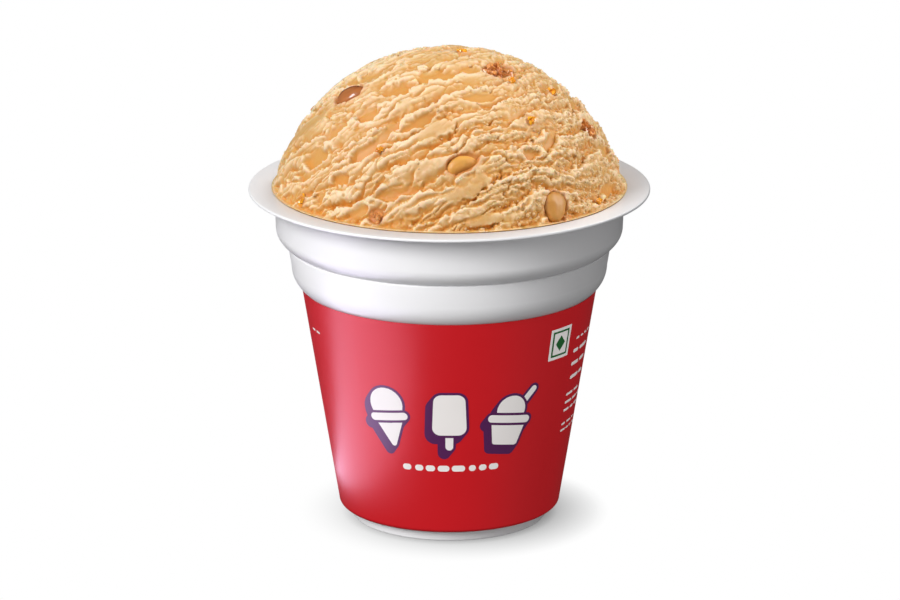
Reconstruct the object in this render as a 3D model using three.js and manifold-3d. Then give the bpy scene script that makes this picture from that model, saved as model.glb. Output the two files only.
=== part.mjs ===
import * as THREE from 'three';
import { mergeVertices } from 'three/addons/utils/BufferGeometryUtils.js';
import Module from 'manifold-3d';

// A small plastic cup of nut ice cream with a scooped dome.
// Millimetres, +Z up, origin at the centre of the foot.

const wasm = await Module();
wasm.setup();

// Cup
const cupHeight = 63.8;
const rimRadius = 37.5;
const rimThickness = 0.6;
const openingRadius = 33.45;
const wall = 0.6;
const turns = 48; // facets round the axis

// The two stepped bands below the rim: radius at the top and at the start of the
// rounded lower edge, and that edge's quarter ellipse
const upperBand = { top: 32.7, bottom: 32.46, edgeHeight: 56.3, edgeWidth: 6.46, edgeDrop: 4.23 };
const lowerBand = { top: 30.18, bottom: 29.59, edgeHeight: 49.0, edgeWidth: 4.6, edgeDrop: 5.0 };

// Tapered body with the printed sleeve round it, and the foot ring
const body = { top: 27.7, bottom: 20.87, bottomHeight: 3.2, corner: 0.9 };
const sleeve = { thickness: 0.3, gap: 0.05, topGap: 0.1, underWidth: 0.65 };
const foot = { radius: 18.4, flare: 0.15, width: 1.4, draft: 0.3, recess: 2.0 };
const floorHeight = 3.7;
const floorFillet = 1.0;

// Ice cream: a superellipse dome, widest a little below the rim
const fillGap = 0.15; // between the ice cream and the cup's inside
const dome = { radius: 33.33, rise: 28.66, base: 61, riseExponent: 1.597, radiusExponent: 2.215 };
const domeFoot = 64.1; // height where the dome's surface meets the neck inside the rim
const domeStep = 1.6; // distance between the dome's rings and between the points on a ring

// The scoop left furrows that run round this direction, steep on one side, torn on the other
const furrow = {
  pole: new THREE.Vector3(0.45, -0.5, -0.74).normalize(),
  reach: 30, // dome radius that turns the angle from the pole into millimetres
  spacing: 5.2,
  gentleShare: 0.7,
  wander: 4.5, // how far they stray sideways, over wanderSize
  wanderSize: 11,
  depth: 1.5, // times a share that changes over depthSize, from leastDepth up to 1
  depthSize: 7,
  leastDepth: 0.35,
};
const lumps = { size: 3.1, depth: 0.5 };
const apexCap = 0.05; // the last ring lies at least this far below the top
const calmHeight = 2.5; // the relief fades out over this height above the neck

// Smooth hollows that the scoop tore open: bearing, height, length, width, turn of the length
// from the furrows' direction, and depth of the floor below the smooth dome
const hollows = [
  [-69, 87.0, 9.0, 3.8, 20, 1.5],
  [-38, 86.2, 10.0, 4.4, -13, 2.0],
  [-45, 82.3, 6.2, 4.4, -9, 2.1],
  [-57, 78.5, 8.6, 3.8, 10, 2.0],
  [-60, 73.8, 8.2, 4.6, -12, 2.0],
  [-36, 76.6, 6.2, 3.6, 10, 2.2],
  [-29, 80.3, 7.6, 3.4, 19, 2.1],
  [-42, 71.6, 4.4, 3.0, -30, 2.0],
  [-60, 69.8, 4.2, 2.8, -14, 1.6],
  [-49, 67.4, 4.4, 2.8, 13, 1.6],
  [-19, 70.6, 10.0, 3.0, -18, 1.8],
  [-15, 88.2, 9.4, 5.0, -14, 1.9],
  [25, 88.6, 4.4, 3.8, -14, 1.6],
  [19, 85.6, 9.2, 3.0, -17, 1.6],
  [-15, 82.3, 8.6, 3.4, 11, 1.9],
  [34, 76.2, 3.8, 2.8, -7, 1.7],
  [47, 77.9, 7.9, 2.6, 36, 1.6],
  [-32, 66.2, 5.2, 2.8, 0, 1.6],
];
// More of them on the sides and the back, spread by a rule between these limits
const farHollows = {
  count: 26,
  bearing: [66, 286],
  height: [66.5, 86.5],
  length: [4, 10],
  width: [2.6, 4.6],
  turn: [-18, 18],
  depth: [1.5, 2.1],
};
const hollowEdge = 0.7; // share of a hollow's ellipse over which its side slopes

// Larger pieces, each set in a socket: bearing in degrees from the front towards +X, height above
// the foot, length, width and thickness, turn of the length from level, and how deep it sits
const socketGap = 0.35;
const pieces = [
  { name: 'nut_left', bearing: -70, height: 83.5, size: [6.6, 4.4, 3.4], turn: 48, sunk: 0.6, kind: 'roastedNut' },
  { name: 'nut_front', bearing: 4.8, height: 75.6, size: [6.4, 3.6, 3.2], turn: 20, sunk: 0.7, kind: 'paleNut' },
  { name: 'nut_right', bearing: 37.9, height: 66.6, size: [6.2, 5.2, 3.6], turn: 78, sunk: 0.8, kind: 'paleNut' },
  { name: 'nut_back', bearing: 168, height: 79.5, size: [6.4, 4.2, 3.4], turn: -30, sunk: 0.7, kind: 'paleNut' },
  { name: 'nut_back_low', bearing: -142, height: 70.0, size: [5.8, 4.6, 3.4], turn: 60, sunk: 0.7, kind: 'roastedNut' },
  { name: 'crunch_top', bearing: 54.6, height: 88.0, size: [7.2, 4.8, 2.6], turn: -12, sunk: 0.7, kind: 'crunch' },
  { name: 'crunch_right', bearing: 76.5, height: 76.6, size: [4.2, 3.6, 2.6], turn: 70, sunk: 0.6, kind: 'crunch' },
  { name: 'crunch_low', bearing: -24.7, height: 66.0, size: [3.2, 2.8, 2.4], turn: 30, sunk: 0.5, kind: 'crunch' },
];

// Small amber crumbs, joined to the ice cream: bearing, height and size
const crumbs = [
  [-56.9, 65.9, 2.2],
  [120, 89.6, 2.8],
  [50.1, 86.4, 1.6],
  [40.8, 80.9, 2.3],
  [58.3, 65.6, 1.4],
  [72.2, 83.5, 2.2],
  [-28.7, 76.8, 1.6],
  [134, 73.5, 2.2],
  [-166, 85.0, 1.9],
  [-112, 76.0, 2.1],
  [103, 67.0, 1.8],
];
const crumbShape = [1, 0.8, 0.5]; // length, width and thickness as shares of the size
const crumbSunk = 0.1;

const materials = {
  cup: new THREE.MeshStandardMaterial({ color: 0xf1eff0, roughness: 0.42, metalness: 0 }),
  sleeve: new THREE.MeshStandardMaterial({ color: 0xb91c2b, roughness: 0.32, metalness: 0 }),
  iceCream: new THREE.MeshStandardMaterial({ color: 0xf0c188, roughness: 0.55, metalness: 0 }),
  paleNut: new THREE.MeshStandardMaterial({ color: 0xc8913f, roughness: 0.4, metalness: 0 }),
  roastedNut: new THREE.MeshStandardMaterial({ color: 0xa9642a, roughness: 0.35, metalness: 0 }),
  crunch: new THREE.MeshStandardMaterial({ color: 0xc06a22, roughness: 0.25, metalness: 0 }),
};

// Noise: random values on a whole-number lattice, blended smoothly, from 0 to 1
function latticeValue(i, j, k) {
  let h = (Math.imul(i, 374761393) + Math.imul(j, 668265263) + Math.imul(k, 1274126177)) | 0;
  h = Math.imul(h ^ (h >>> 13), 1103515245);
  return ((h ^ (h >>> 16)) >>> 0) / 4294967296;
}

function noise(x, y, z) {
  const cell = [Math.floor(x), Math.floor(y), Math.floor(z)];
  const t = [x - cell[0], y - cell[1], z - cell[2]].map((v) => v * v * (3 - 2 * v));
  let sum = 0;
  for (let corner = 0; corner < 8; corner++) {
    const step = [corner & 1, (corner >> 1) & 1, corner >> 2];
    const weight = step.reduce((w, s, axis) => w * (s ? t[axis] : 1 - t[axis]), 1);
    sum += weight * latticeValue(cell[0] + step[0], cell[1] + step[1], cell[2] + step[2]);
  }
  return sum;
}

// Noise at a point, for lumps of a size, and with a seed of its own
function noiseAt(point, size, seed) {
  return noise(point.x / size + seed, point.y / size, point.z / size);
}

// Points from t = 0 to 1 of a curve, ends included
function along(count, point) {
  return Array.from({ length: count + 1 }, (_, i) => point(i / count));
}

// The rounded lower edge of a band, from its outside inwards and down to endRadius
function bandEdge(band, endRadius, inset, steps = 4) {
  const centre = band.bottom - band.edgeWidth;
  const width = band.edgeWidth - inset;
  const drop = band.edgeDrop - inset;
  const last = Math.acos((endRadius - centre) / width);
  return along(steps, (t) => new THREE.Vector2(
    centre + width * Math.cos(last * t),
    band.edgeHeight - drop * Math.sin(last * t),
  ));
}

// Height of a band's rounded edge at a radius
function edgeHeightAt(band, radius) {
  const reach = (radius - band.bottom + band.edgeWidth) / band.edgeWidth;
  return band.edgeHeight - band.edgeDrop * Math.sqrt(1 - reach * reach);
}

// A quarter circle about (radius, height), from angle a to angle b in degrees
function roundCorner(radius, height, size, a, b, steps = 3) {
  return along(steps, (t) => {
    const angle = THREE.MathUtils.degToRad(a + (b - a) * t);
    return new THREE.Vector2(radius + size * Math.cos(angle), height + size * Math.sin(angle));
  });
}

const skin = sleeve.thickness + sleeve.gap; // how far the cup's own wall lies behind the print

// The inside of the cup from the rim down to the floor's middle, drawn in by a gap
function insideProfile(gap) {
  const inset = wall + gap;
  const lip = openingRadius - upperBand.top + wall;
  const radius = body.bottom - skin - inset - floorFillet;
  return [
    ...roundCorner(openingRadius, cupHeight - lip, lip + gap, 90, 180),
    ...bandEdge(upperBand, lowerBand.top - inset, inset),
    ...bandEdge(lowerBand, body.top - skin - inset, inset),
    ...roundCorner(radius, floorHeight + floorFillet + gap, floorFillet, 0, -90),
    new THREE.Vector2(0, floorHeight + gap),
  ];
}

function cupProfile() {
  const corner = body.corner - skin;
  const cornerRadius = body.bottom - body.corner;
  const underside = body.bottomHeight - corner;
  const lipRound = rimThickness * 0.3;
  return [
    new THREE.Vector2(0, foot.recess),
    new THREE.Vector2(foot.radius - foot.width - foot.draft, foot.recess),
    new THREE.Vector2(foot.radius - foot.width, 0),
    new THREE.Vector2(foot.radius, 0),
    new THREE.Vector2(foot.radius + foot.flare, underside),
    ...roundCorner(cornerRadius, body.bottomHeight, corner, -90, 0, 2),
    ...bandEdge(lowerBand, body.top - skin, 0).reverse(),
    ...bandEdge(upperBand, lowerBand.top, 0).reverse(),
    new THREE.Vector2(upperBand.top, cupHeight - rimThickness),
    new THREE.Vector2(rimRadius - lipRound, cupHeight - rimThickness),
    new THREE.Vector2(rimRadius, cupHeight - rimThickness + lipRound),
    new THREE.Vector2(rimRadius, cupHeight - lipRound),
    new THREE.Vector2(rimRadius - lipRound, cupHeight),
    ...insideProfile(0),
  ];
}

function sleeveProfile() {
  const radius = body.bottom - body.corner;
  const inner = body.corner - sleeve.thickness;
  const end = radius - sleeve.underWidth;
  const topEdge = (r) => new THREE.Vector2(r, edgeHeightAt(lowerBand, r) - sleeve.topGap);
  const outline = [
    new THREE.Vector2(end, body.bottomHeight - body.corner),
    ...roundCorner(radius, body.bottomHeight, body.corner, -90, 0),
    topEdge(body.top),
    topEdge(body.top - sleeve.thickness),
    ...roundCorner(radius, body.bottomHeight, inner, 0, -90),
    new THREE.Vector2(end, body.bottomHeight - inner),
  ];
  return [...outline, outline[0].clone()];
}

// A profile turned about +Z
function turned(profile) {
  return new THREE.LatheGeometry(profile, turns).rotateX(Math.PI / 2);
}

// The smooth dome: height to radius, and a point from bearing and height
function domeRadius(height) {
  const rise = Math.max(0, (height - dome.base) / dome.rise);
  return dome.radius * (1 - rise ** dome.riseExponent) ** (1 / dome.radiusExponent);
}

function domePoint(bearing, height) {
  const radius = domeRadius(height);
  return new THREE.Vector3(radius * Math.sin(bearing), -radius * Math.cos(bearing), height);
}

function domeNormal(bearing, height) {
  const step = 0.02;
  const slope = (domeRadius(height - step) - domeRadius(height + step)) / (2 * step);
  return new THREE.Vector3(Math.sin(bearing), -Math.cos(bearing), slope).normalize();
}

// A direction laid into the dome's surface and turned, the direction across it, and the normal
function surfaceAxes(bearing, height, direction, turnDeg) {
  const normal = domeNormal(bearing, height);
  const length = direction.projectOnPlane(normal).normalize();
  length.applyAxisAngle(normal, THREE.MathUtils.degToRad(turnDeg));
  return [length, normal.clone().cross(length), normal];
}

// A number between two limits, drawn for a hollow and one of its sizes
function drawn([low, high], hollow, size) {
  return low + (high - low) * latticeValue(hollow, size, 7);
}

// A hollow's place and axes, its length along the furrows but for its own turn
function placeHollow([bearingDeg, height, length, width, turn, depth]) {
  const bearing = THREE.MathUtils.degToRad(bearingDeg);
  const centre = domePoint(bearing, height);
  const out = centre.clone().sub(new THREE.Vector3(0, 0, dome.base));
  const axes = surfaceAxes(bearing, height, furrow.pole.clone().cross(out), turn);
  return { centre, axes, length, width, depth };
}

const limits = farHollows;
const placedHollows = [
  ...hollows,
  ...Array.from({ length: limits.count }, (_, i) => [
    drawn(limits.bearing, i, 1),
    drawn(limits.height, i, 2),
    drawn(limits.length, i, 3),
    drawn(limits.width, i, 4),
    drawn(limits.turn, i, 5),
    drawn(limits.depth, i, 6),
  ]),
].map(placeHollow);

// Depth of the furrows and lumps alone
function furrowDepth(point) {
  const out = point.clone().sub(new THREE.Vector3(0, 0, dome.base)).normalize();
  const wander = furrow.wander * (noiseAt(point, furrow.wanderSize, 0) - 0.5);
  const across = (furrow.reach * Math.acos(out.dot(furrow.pole)) + wander) / furrow.spacing;
  const phase = Math.ceil(across) - across;
  const gentle = phase / furrow.gentleShare;
  const steep = (1 - phase) / (1 - furrow.gentleShare);
  const share = THREE.MathUtils.lerp(furrow.leastDepth, 1, noiseAt(point, furrow.depthSize, 31));
  return furrow.depth * share * Math.min(gentle, steep) + lumps.depth * noiseAt(point, lumps.size, 17);
}

// How far the scooped surface lies below the smooth dome at a point
function relief(point) {
  let depth = furrowDepth(point);
  for (const hollow of placedHollows) {
    const offset = point.clone().sub(hollow.centre);
    if (offset.length() > hollow.length) continue;
    const along = (2 * offset.dot(hollow.axes[0])) / hollow.length;
    const across = (2 * offset.dot(hollow.axes[1])) / hollow.width;
    const inside = THREE.MathUtils.smoothstep(1 - along * along - across * across, 0, hollowEdge);
    depth += inside * (hollow.depth - depth);
  }
  return depth * THREE.MathUtils.smoothstep(point.z - domeFoot, 0, calmHeight);
}

// A level ring of points about the axis
function levelRing(count, point) {
  return Array.from({ length: count }, (_, i) => point((i / count) * 2 * Math.PI));
}

// A closed surface through level rings from the bottom up. The first and last are single points,
// and two rings of different counts are joined by walking round both at once.
function ringSurface(rings) {
  const positions = rings.flat().flatMap((p) => [p.x, p.y, p.z]);
  const index = [];
  let start = 0;
  for (let r = 0; r + 1 < rings.length; r++) {
    const below = rings[r].length;
    const above = rings[r + 1].length;
    const next = start + below;
    let i = below === 1 ? 1 : 0;
    let j = above === 1 ? 1 : 0;
    while (i < below || j < above) {
      const stepBelow = j === above || (i < below && (i + 0.5) / below <= (j + 0.5) / above);
      const a = start + (i % below);
      const b = next + (j % above);
      if (stepBelow) index.push(a, start + (++i % below), b);
      else index.push(a, next + (++j % above), b);
    }
    start = next;
  }
  const geometry = new THREE.BufferGeometry();
  geometry.setAttribute('position', new THREE.Float32BufferAttribute(positions, 3));
  geometry.setIndex(index);
  return geometry;
}

// The ice cream: floor, inside wall, neck at the rim and the scooped dome
function iceCreamGeometry() {
  const inside = insideProfile(fillGap).reverse();
  const rimEdge = inside.at(-2);
  const neck = new THREE.Vector2((domeRadius(domeFoot) + rimEdge.x) / 2, cupHeight + fillGap);
  const rings = [...inside.slice(0, -2), neck].map((p) => levelRing(
    p.x === 0 ? 1 : turns,
    (angle) => new THREE.Vector3(p.x * Math.sin(angle), -p.x * Math.cos(angle), p.y),
  ));
  const top = dome.base + dome.rise;
  let height = domeFoot;
  while (height < top - apexCap) {
    const count = Math.ceil((2 * Math.PI * domeRadius(height)) / domeStep);
    rings.push(levelRing(count, (bearing) => {
      const p = domePoint(bearing, height);
      return p.addScaledVector(domeNormal(bearing, height), -relief(p));
    }));
    height += domeStep * Math.abs(domeNormal(0, height).y);
  }
  const apex = new THREE.Vector3(0, 0, top);
  rings.push([apex.setZ(top - relief(apex))]);
  return ringSurface(rings);
}

// An uneven rounded lump lying in the dome's surface, its size grown by a margin
function lumpGeometry(size, detail, seed, margin = 0) {
  const geometry = new THREE.IcosahedronGeometry(1, detail);
  const position = geometry.getAttribute('position');
  for (let i = 0; i < position.count; i++) {
    const p = new THREE.Vector3().fromBufferAttribute(position, i);
    const swell = 0.86 + 0.28 * noise(p.x * 1.6 + seed, p.y * 1.6 + 9, p.z * 1.6 + 5);
    const half = size.map((s) => (s / 2) * swell + margin);
    position.setXYZ(i, p.x * half[0], p.y * half[1], p.z * half[2]);
  }
  return geometry;
}

// Lays a lump on the dome: its X along the turned tangent and its Z along the normal
function settle(geometry, bearingDeg, height, turnDeg, sunk) {
  const bearing = THREE.MathUtils.degToRad(bearingDeg);
  const level = new THREE.Vector3(Math.cos(bearing), Math.sin(bearing), 0);
  const axes = surfaceAxes(bearing, height, level, turnDeg);
  const place = domePoint(bearing, height);
  place.addScaledVector(axes[2], -sunk - relief(place));
  return geometry.applyMatrix4(new THREE.Matrix4().makeBasis(...axes).setPosition(place));
}

// To and from closed solids, for the sockets and the joined crumbs
function toSolid(geometry) {
  const bare = geometry.clone();
  bare.deleteAttribute('normal');
  bare.deleteAttribute('uv');
  const merged = mergeVertices(bare, 1e-4);
  return new wasm.Manifold(new wasm.Mesh({
    numProp: 3,
    vertProperties: new Float32Array(merged.getAttribute('position').array),
    triVerts: new Uint32Array(merged.index.array),
  }));
}

function fromSolid(solid) {
  const mesh = solid.getMesh();
  const geometry = new THREE.BufferGeometry();
  geometry.setAttribute('position', new THREE.BufferAttribute(mesh.vertProperties, 3));
  geometry.setIndex(new THREE.BufferAttribute(mesh.triVerts, 1));
  geometry.computeVertexNormals();
  return geometry;
}

function pieceGeometry(piece, seed, detail, margin = 0) {
  const lump = lumpGeometry(piece.size, detail, seed, margin);
  return settle(lump, piece.bearing, piece.height, piece.turn, piece.sunk);
}

function crumbGeometry([bearing, height, size], seed) {
  const lump = lumpGeometry(crumbShape.map((share) => share * size), 0, seed);
  return settle(lump, bearing, height, seed * 37, crumbSunk); // each turned another way
}

const group = new THREE.Group();

function addMesh(name, geometry, material) {
  const mesh = new THREE.Mesh(geometry, material);
  mesh.name = name;
  group.add(mesh);
}

addMesh('cup', turned(cupProfile()), materials.cup);
addMesh('printed_sleeve', turned(sleeveProfile()), materials.sleeve);

let iceCream = toSolid(iceCreamGeometry());
crumbs.forEach((crumb, i) => {
  iceCream = iceCream.add(toSolid(crumbGeometry(crumb, i)));
});
pieces.forEach((piece, i) => {
  iceCream = iceCream.subtract(toSolid(pieceGeometry(piece, i, 1, socketGap)));
  addMesh(piece.name, pieceGeometry(piece, i, 2), materials[piece.kind]);
});
addMesh('ice_cream', fromSolid(iceCream), materials.iceCream);

export default group;
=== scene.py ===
import itertools
import math

import bmesh
import bpy
import numpy as np
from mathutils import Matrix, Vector


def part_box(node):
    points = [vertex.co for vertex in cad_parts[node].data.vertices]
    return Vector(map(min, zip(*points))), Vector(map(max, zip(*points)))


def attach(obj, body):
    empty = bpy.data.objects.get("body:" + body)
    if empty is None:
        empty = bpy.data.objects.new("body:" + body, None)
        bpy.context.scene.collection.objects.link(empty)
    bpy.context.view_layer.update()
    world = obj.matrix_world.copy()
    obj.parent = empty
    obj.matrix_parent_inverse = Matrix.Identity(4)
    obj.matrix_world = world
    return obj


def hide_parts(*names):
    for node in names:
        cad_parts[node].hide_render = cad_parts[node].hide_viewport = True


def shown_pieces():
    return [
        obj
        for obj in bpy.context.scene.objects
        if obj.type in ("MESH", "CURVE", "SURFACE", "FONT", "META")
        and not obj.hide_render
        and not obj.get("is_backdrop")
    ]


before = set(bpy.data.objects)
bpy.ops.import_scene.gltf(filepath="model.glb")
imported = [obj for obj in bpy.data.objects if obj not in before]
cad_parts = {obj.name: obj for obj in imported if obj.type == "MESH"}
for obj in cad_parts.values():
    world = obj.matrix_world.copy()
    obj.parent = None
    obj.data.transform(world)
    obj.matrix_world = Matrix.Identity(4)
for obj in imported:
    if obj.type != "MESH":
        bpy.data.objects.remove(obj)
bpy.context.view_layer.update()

# A plastic cup of nut ice cream with a scooped dome. Sizes below are millimetres,
# bearings are degrees from the front towards +X, and Blender gets metres.
mm = 0.001
scene = bpy.context.scene


# Small tools for meshes
def addPiece(name, mesh):
    piece = bpy.data.objects.new(name, mesh)
    scene.collection.objects.link(piece)
    return piece


def smoothShade(piece, smooth=True):
    piece.data.polygons.foreach_set("use_smooth", [smooth] * len(piece.data.polygons))


def newPiece(name, points, faces):
    # points in millimetres
    mesh = bpy.data.meshes.new(name)
    mesh.from_pydata((np.asarray(points, float) * mm).tolist(), [], [list(f) for f in faces])
    piece = addPiece(name, mesh)
    smoothShade(piece)
    mesh.update()
    return piece


def meshPiece(name, work):
    # a new object from a bmesh in metres
    mesh = bpy.data.meshes.new(name)
    work.to_mesh(mesh)
    work.free()
    return addPiece(name, mesh)


def applyModifier(piece, modifier):
    # the piece gets the modifier's result as a plain mesh
    graph = bpy.context.evaluated_depsgraph_get()
    made = bpy.data.meshes.new_from_object(
        piece.evaluated_get(graph), preserve_all_data_layers=True, depsgraph=graph)
    piece.modifiers.remove(modifier)
    made.name = piece.name
    piece.data = made


def faceOutwards(piece):
    work = bmesh.new()
    work.from_mesh(piece.data)
    bmesh.ops.recalc_face_normals(work, faces=work.faces)
    work.to_mesh(piece.data)
    work.free()


def finishPiece(piece, slot, *nodes):
    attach(piece, "root")
    if nodes:
        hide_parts(*nodes)


# Node groups with named inputs and outputs, each (name, kind) or (name, kind, value)
def newGroup(name, kind, inputs, outputs):
    group = bpy.data.node_groups.new(name, kind)
    for way, sockets in (("INPUT", inputs), ("OUTPUT", outputs)):
        for label, socketKind, *values in sockets:
            socket = group.interface.new_socket(label, in_out=way, socket_type="NodeSocket" + socketKind)
            for value in values:
                socket.default_value = value
    group.nodes.new("NodeGroupInput")
    group.nodes.new("NodeGroupOutput")
    return group


# Geometry Nodes: a tree is run once on an object, which then gets the result as a plain mesh
def newTree(name, inputs):
    geometry = ("Geometry", "Geometry")
    return newGroup(name, "GeometryNodeTree", [geometry, *inputs], [geometry])


def ends(tree):
    first = next(n for n in tree.nodes if n.type == "GROUP_INPUT")
    last = next(n for n in tree.nodes if n.type == "GROUP_OUTPUT")
    return first, last


def addNode(tree, kind, links=(), **settings):
    # links is a list of (input name or index, output socket or plain value)
    node = tree.nodes.new(kind)
    for key, value in settings.items():
        setattr(node, key, value)
    for name, source in links:
        if isinstance(source, bpy.types.NodeSocket):
            tree.links.new(source, node.inputs[name])
        else:
            node.inputs[name].default_value = source
    return node


def maths(tree, operation, *values):
    node = tree.nodes.new("ShaderNodeMath")
    node.operation = operation
    for slot, value in zip(node.inputs, values):
        if isinstance(value, bpy.types.NodeSocket):
            tree.links.new(value, slot)
        else:
            slot.default_value = value
    return node.outputs[0]


def endTree(tree, geometry, paint):
    # the last steps of every tree: real meshes with a material
    real = addNode(tree, "GeometryNodeRealizeInstances", [("Geometry", geometry)])
    painted = addNode(tree, "GeometryNodeSetMaterial", [("Geometry", real.outputs[0]), ("Material", paint)])
    tree.links.new(painted.outputs[0], ends(tree)[1].inputs[0])


def runTree(piece, tree, values):
    modifier = piece.modifiers.new("nodes", "NODES")
    modifier.node_group = tree
    for item in tree.interface.items_tree:
        if item.in_out == "INPUT" and item.name in values:
            modifier[item.identifier] = values[item.name]
    applyModifier(piece, modifier)


# Shader effects used by several materials
def makeMottleGroup():
    # two colours mixed by soft noise of a size
    group = newGroup("mottle", "ShaderNodeTree", [
        ("Colour", "Color", (1, 1, 1, 1)), ("Other", "Color", (0, 0, 0, 1)), ("Scale", "Float", 300.0),
        ("Contrast", "Float", 1.0)], [("Colour", "Color")])
    first, last = ends(group)
    coords = addNode(group, "ShaderNodeTexCoord")
    noise = addNode(group, "ShaderNodeTexNoise", [
        ("Vector", coords.outputs["Object"]), ("Scale", first.outputs["Scale"]), ("Detail", 4.0)])
    middle = maths(group, "SUBTRACT", noise.outputs[0], 0.5)
    spread = addNode(group, "ShaderNodeMapRange", [
        ("Value", maths(group, "MULTIPLY", middle, first.outputs["Contrast"])),
        ("From Min", -0.25), ("From Max", 0.25)])
    mix = addNode(group, "ShaderNodeMix", data_type="RGBA")
    group.links.new(spread.outputs[0], mix.inputs[0])
    group.links.new(first.outputs["Colour"], mix.inputs[6])
    group.links.new(first.outputs["Other"], mix.inputs[7])
    group.links.new(mix.outputs[2], last.inputs["Colour"])
    return group


def makeGrainGroup():
    # a normal roughened by fine noise
    group = newGroup("grain", "ShaderNodeTree", [
        ("Scale", "Float", 2000.0), ("Strength", "Float", 0.2), ("Depth", "Float", 0.0002)],
        [("Normal", "Vector")])
    first, last = ends(group)
    coords = addNode(group, "ShaderNodeTexCoord")
    noise = addNode(group, "ShaderNodeTexNoise", [
        ("Vector", coords.outputs["Object"]), ("Scale", first.outputs["Scale"]), ("Detail", 3.0)])
    bump = addNode(group, "ShaderNodeBump", [
        ("Height", noise.outputs[0]), ("Strength", first.outputs["Strength"]),
        ("Distance", first.outputs["Depth"])])
    group.links.new(bump.outputs[0], last.inputs["Normal"])
    return group


mottleGroup = makeMottleGroup()
grainGroup = makeGrainGroup()


def newMaterial(name, **values):
    # a Principled material; values are its socket names with underscores for spaces
    paint = bpy.data.materials.new(name)
    paint.use_nodes = True
    shader = paint.node_tree.nodes["Principled BSDF"]
    for key, value in values.items():
        socket = shader.inputs[key.replace("_", " ")]
        if socket.type == "RGBA":
            value = (*value, 1)
        socket.default_value = value
    return paint, paint.node_tree, shader


def useGroup(tree, group, **values):
    node = tree.nodes.new("ShaderNodeGroup")
    node.node_tree = group
    for key, value in values.items():
        socket = node.inputs[key]
        if isinstance(value, bpy.types.NodeSocket):
            tree.links.new(value, socket)
        elif socket.type == "RGBA":
            socket.default_value = (*value, 1)
        else:
            socket.default_value = value
    return node


def mottledMaterial(name, mottle, grain, **values):
    # mottle: colour, other colour, scale; grain: scale, strength, depth in metres
    paint, tree, shader = newMaterial(name, **values)
    colour, other, scale = mottle
    spots = useGroup(tree, mottleGroup, Colour=colour, Other=other, Scale=scale)
    scale, strength, depth = grain
    rough = useGroup(tree, grainGroup, Scale=scale, Strength=strength, Depth=depth)
    tree.links.new(spots.outputs["Colour"], shader.inputs["Base Color"])
    tree.links.new(rough.outputs["Normal"], shader.inputs["Normal"])
    return paint


# Camera: a metre away with a long lens, looking a little down
camera = {"aimHeight": 41.53, "distance": 1000.0, "elevation": 16.38, "lens": 212.85, "shiftX": 0.00072}


def makeCamera():
    tilt = math.radians(camera["elevation"])
    data = bpy.data.cameras.new("camera")
    data.lens = camera["lens"]
    data.sensor_width = 36
    data.shift_x = camera["shiftX"]
    data.clip_start = 0.05
    data.clip_end = 20
    eye = bpy.data.objects.new("camera", data)
    eye.location = (
        0,
        -camera["distance"] * math.cos(tilt) * mm,
        (camera["aimHeight"] + camera["distance"] * math.sin(tilt)) * mm,
    )
    eye.rotation_euler = (math.pi / 2 - tilt, 0, 0)
    scene.collection.objects.link(eye)
    scene.camera = eye


# Studio, in metres: the camera sees a white floor and background, the object sees dimmer ones
studio = {
    "floorRadius": 4.0,
    "floorBounce": 0.16,  # light that the floor throws on the object
    "shadowReach": 0.0100,  # how far from the foot the floor is shaded
    "shadowCurve": 0.6,  # below 1 the shade pales faster away from the foot
    "shadowLean": (-0.5, -0.14, 0.85),  # where the light comes from that the shade leans away from
    "worldMost": 0.60,  # light from the room, which fades towards the back on the right
    "worldLeast": 0.18,
    "worldFrom": (-0.5, -0.8, -0.33),
    "glossShare": 0.25,  # how much of floor and room shows in reflections
    "aim": (0, 0, 0.05),
}
lamps = {
    "key": {"place": (-0.62, -0.66, 0.54), "size": 0.48, "power": 10.0, "lights": "wall"},
    "domeKey": {"place": (-0.60, -0.54, 0.69), "size": 0.48, "power": 9.8, "lights": "ice cream",
                "colour": (0.97, 1.0, 1.09)},
    "back": {"place": (0.28, 0.525, 0.60), "size": 0.40, "power": 3.0, "lights": "cup"},
    "bandFill": {"place": (0.44, -0.77, 0.10), "size": 0.30, "power": 0.85, "lights": "cup"},
    "domeFill": {"place": (0.85, 0.05, 0.48), "size": 0.50, "power": 7.5, "lights": "ice cream"},
    "lowFill": {"place": (0.68, -0.36, 0.12), "size": 0.30, "power": 2.6, "lights": "film"},
}
# A lit card on the floor at the left, which only shows as a soft sheen on the print
card = {
    "place": (-0.096, -0.0305, 0.001), "size": (0.13, 0.093), "power": 0.165, "colour": (1.0, 0.9, 1.25),
}


def cameraMix(tree, seen, other, out):
    # one shader for what the camera sees and another for every other ray
    rays = tree.nodes.new("ShaderNodeLightPath")
    mix = addNode(tree, "ShaderNodeMixShader", [(0, rays.outputs["Is Camera Ray"]), (1, other), (2, seen)])
    tree.links.new(mix.outputs[0], out.inputs["Surface"])


def whiteShader(tree, kind, strength):
    return addNode(tree, kind, [("Color", (1, 1, 1, 1)), ("Strength", strength)]).outputs[0]


def dimmed(tree, strength):
    # a strength that is lower where a reflection looks
    rays = tree.nodes.new("ShaderNodeLightPath")
    share = addNode(tree, "ShaderNodeMapRange", [
        ("Value", rays.outputs["Is Glossy Ray"]), ("To Min", 1.0), ("To Max", studio["glossShare"])])
    return maths(tree, "MULTIPLY", share.outputs[0], strength)


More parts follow.
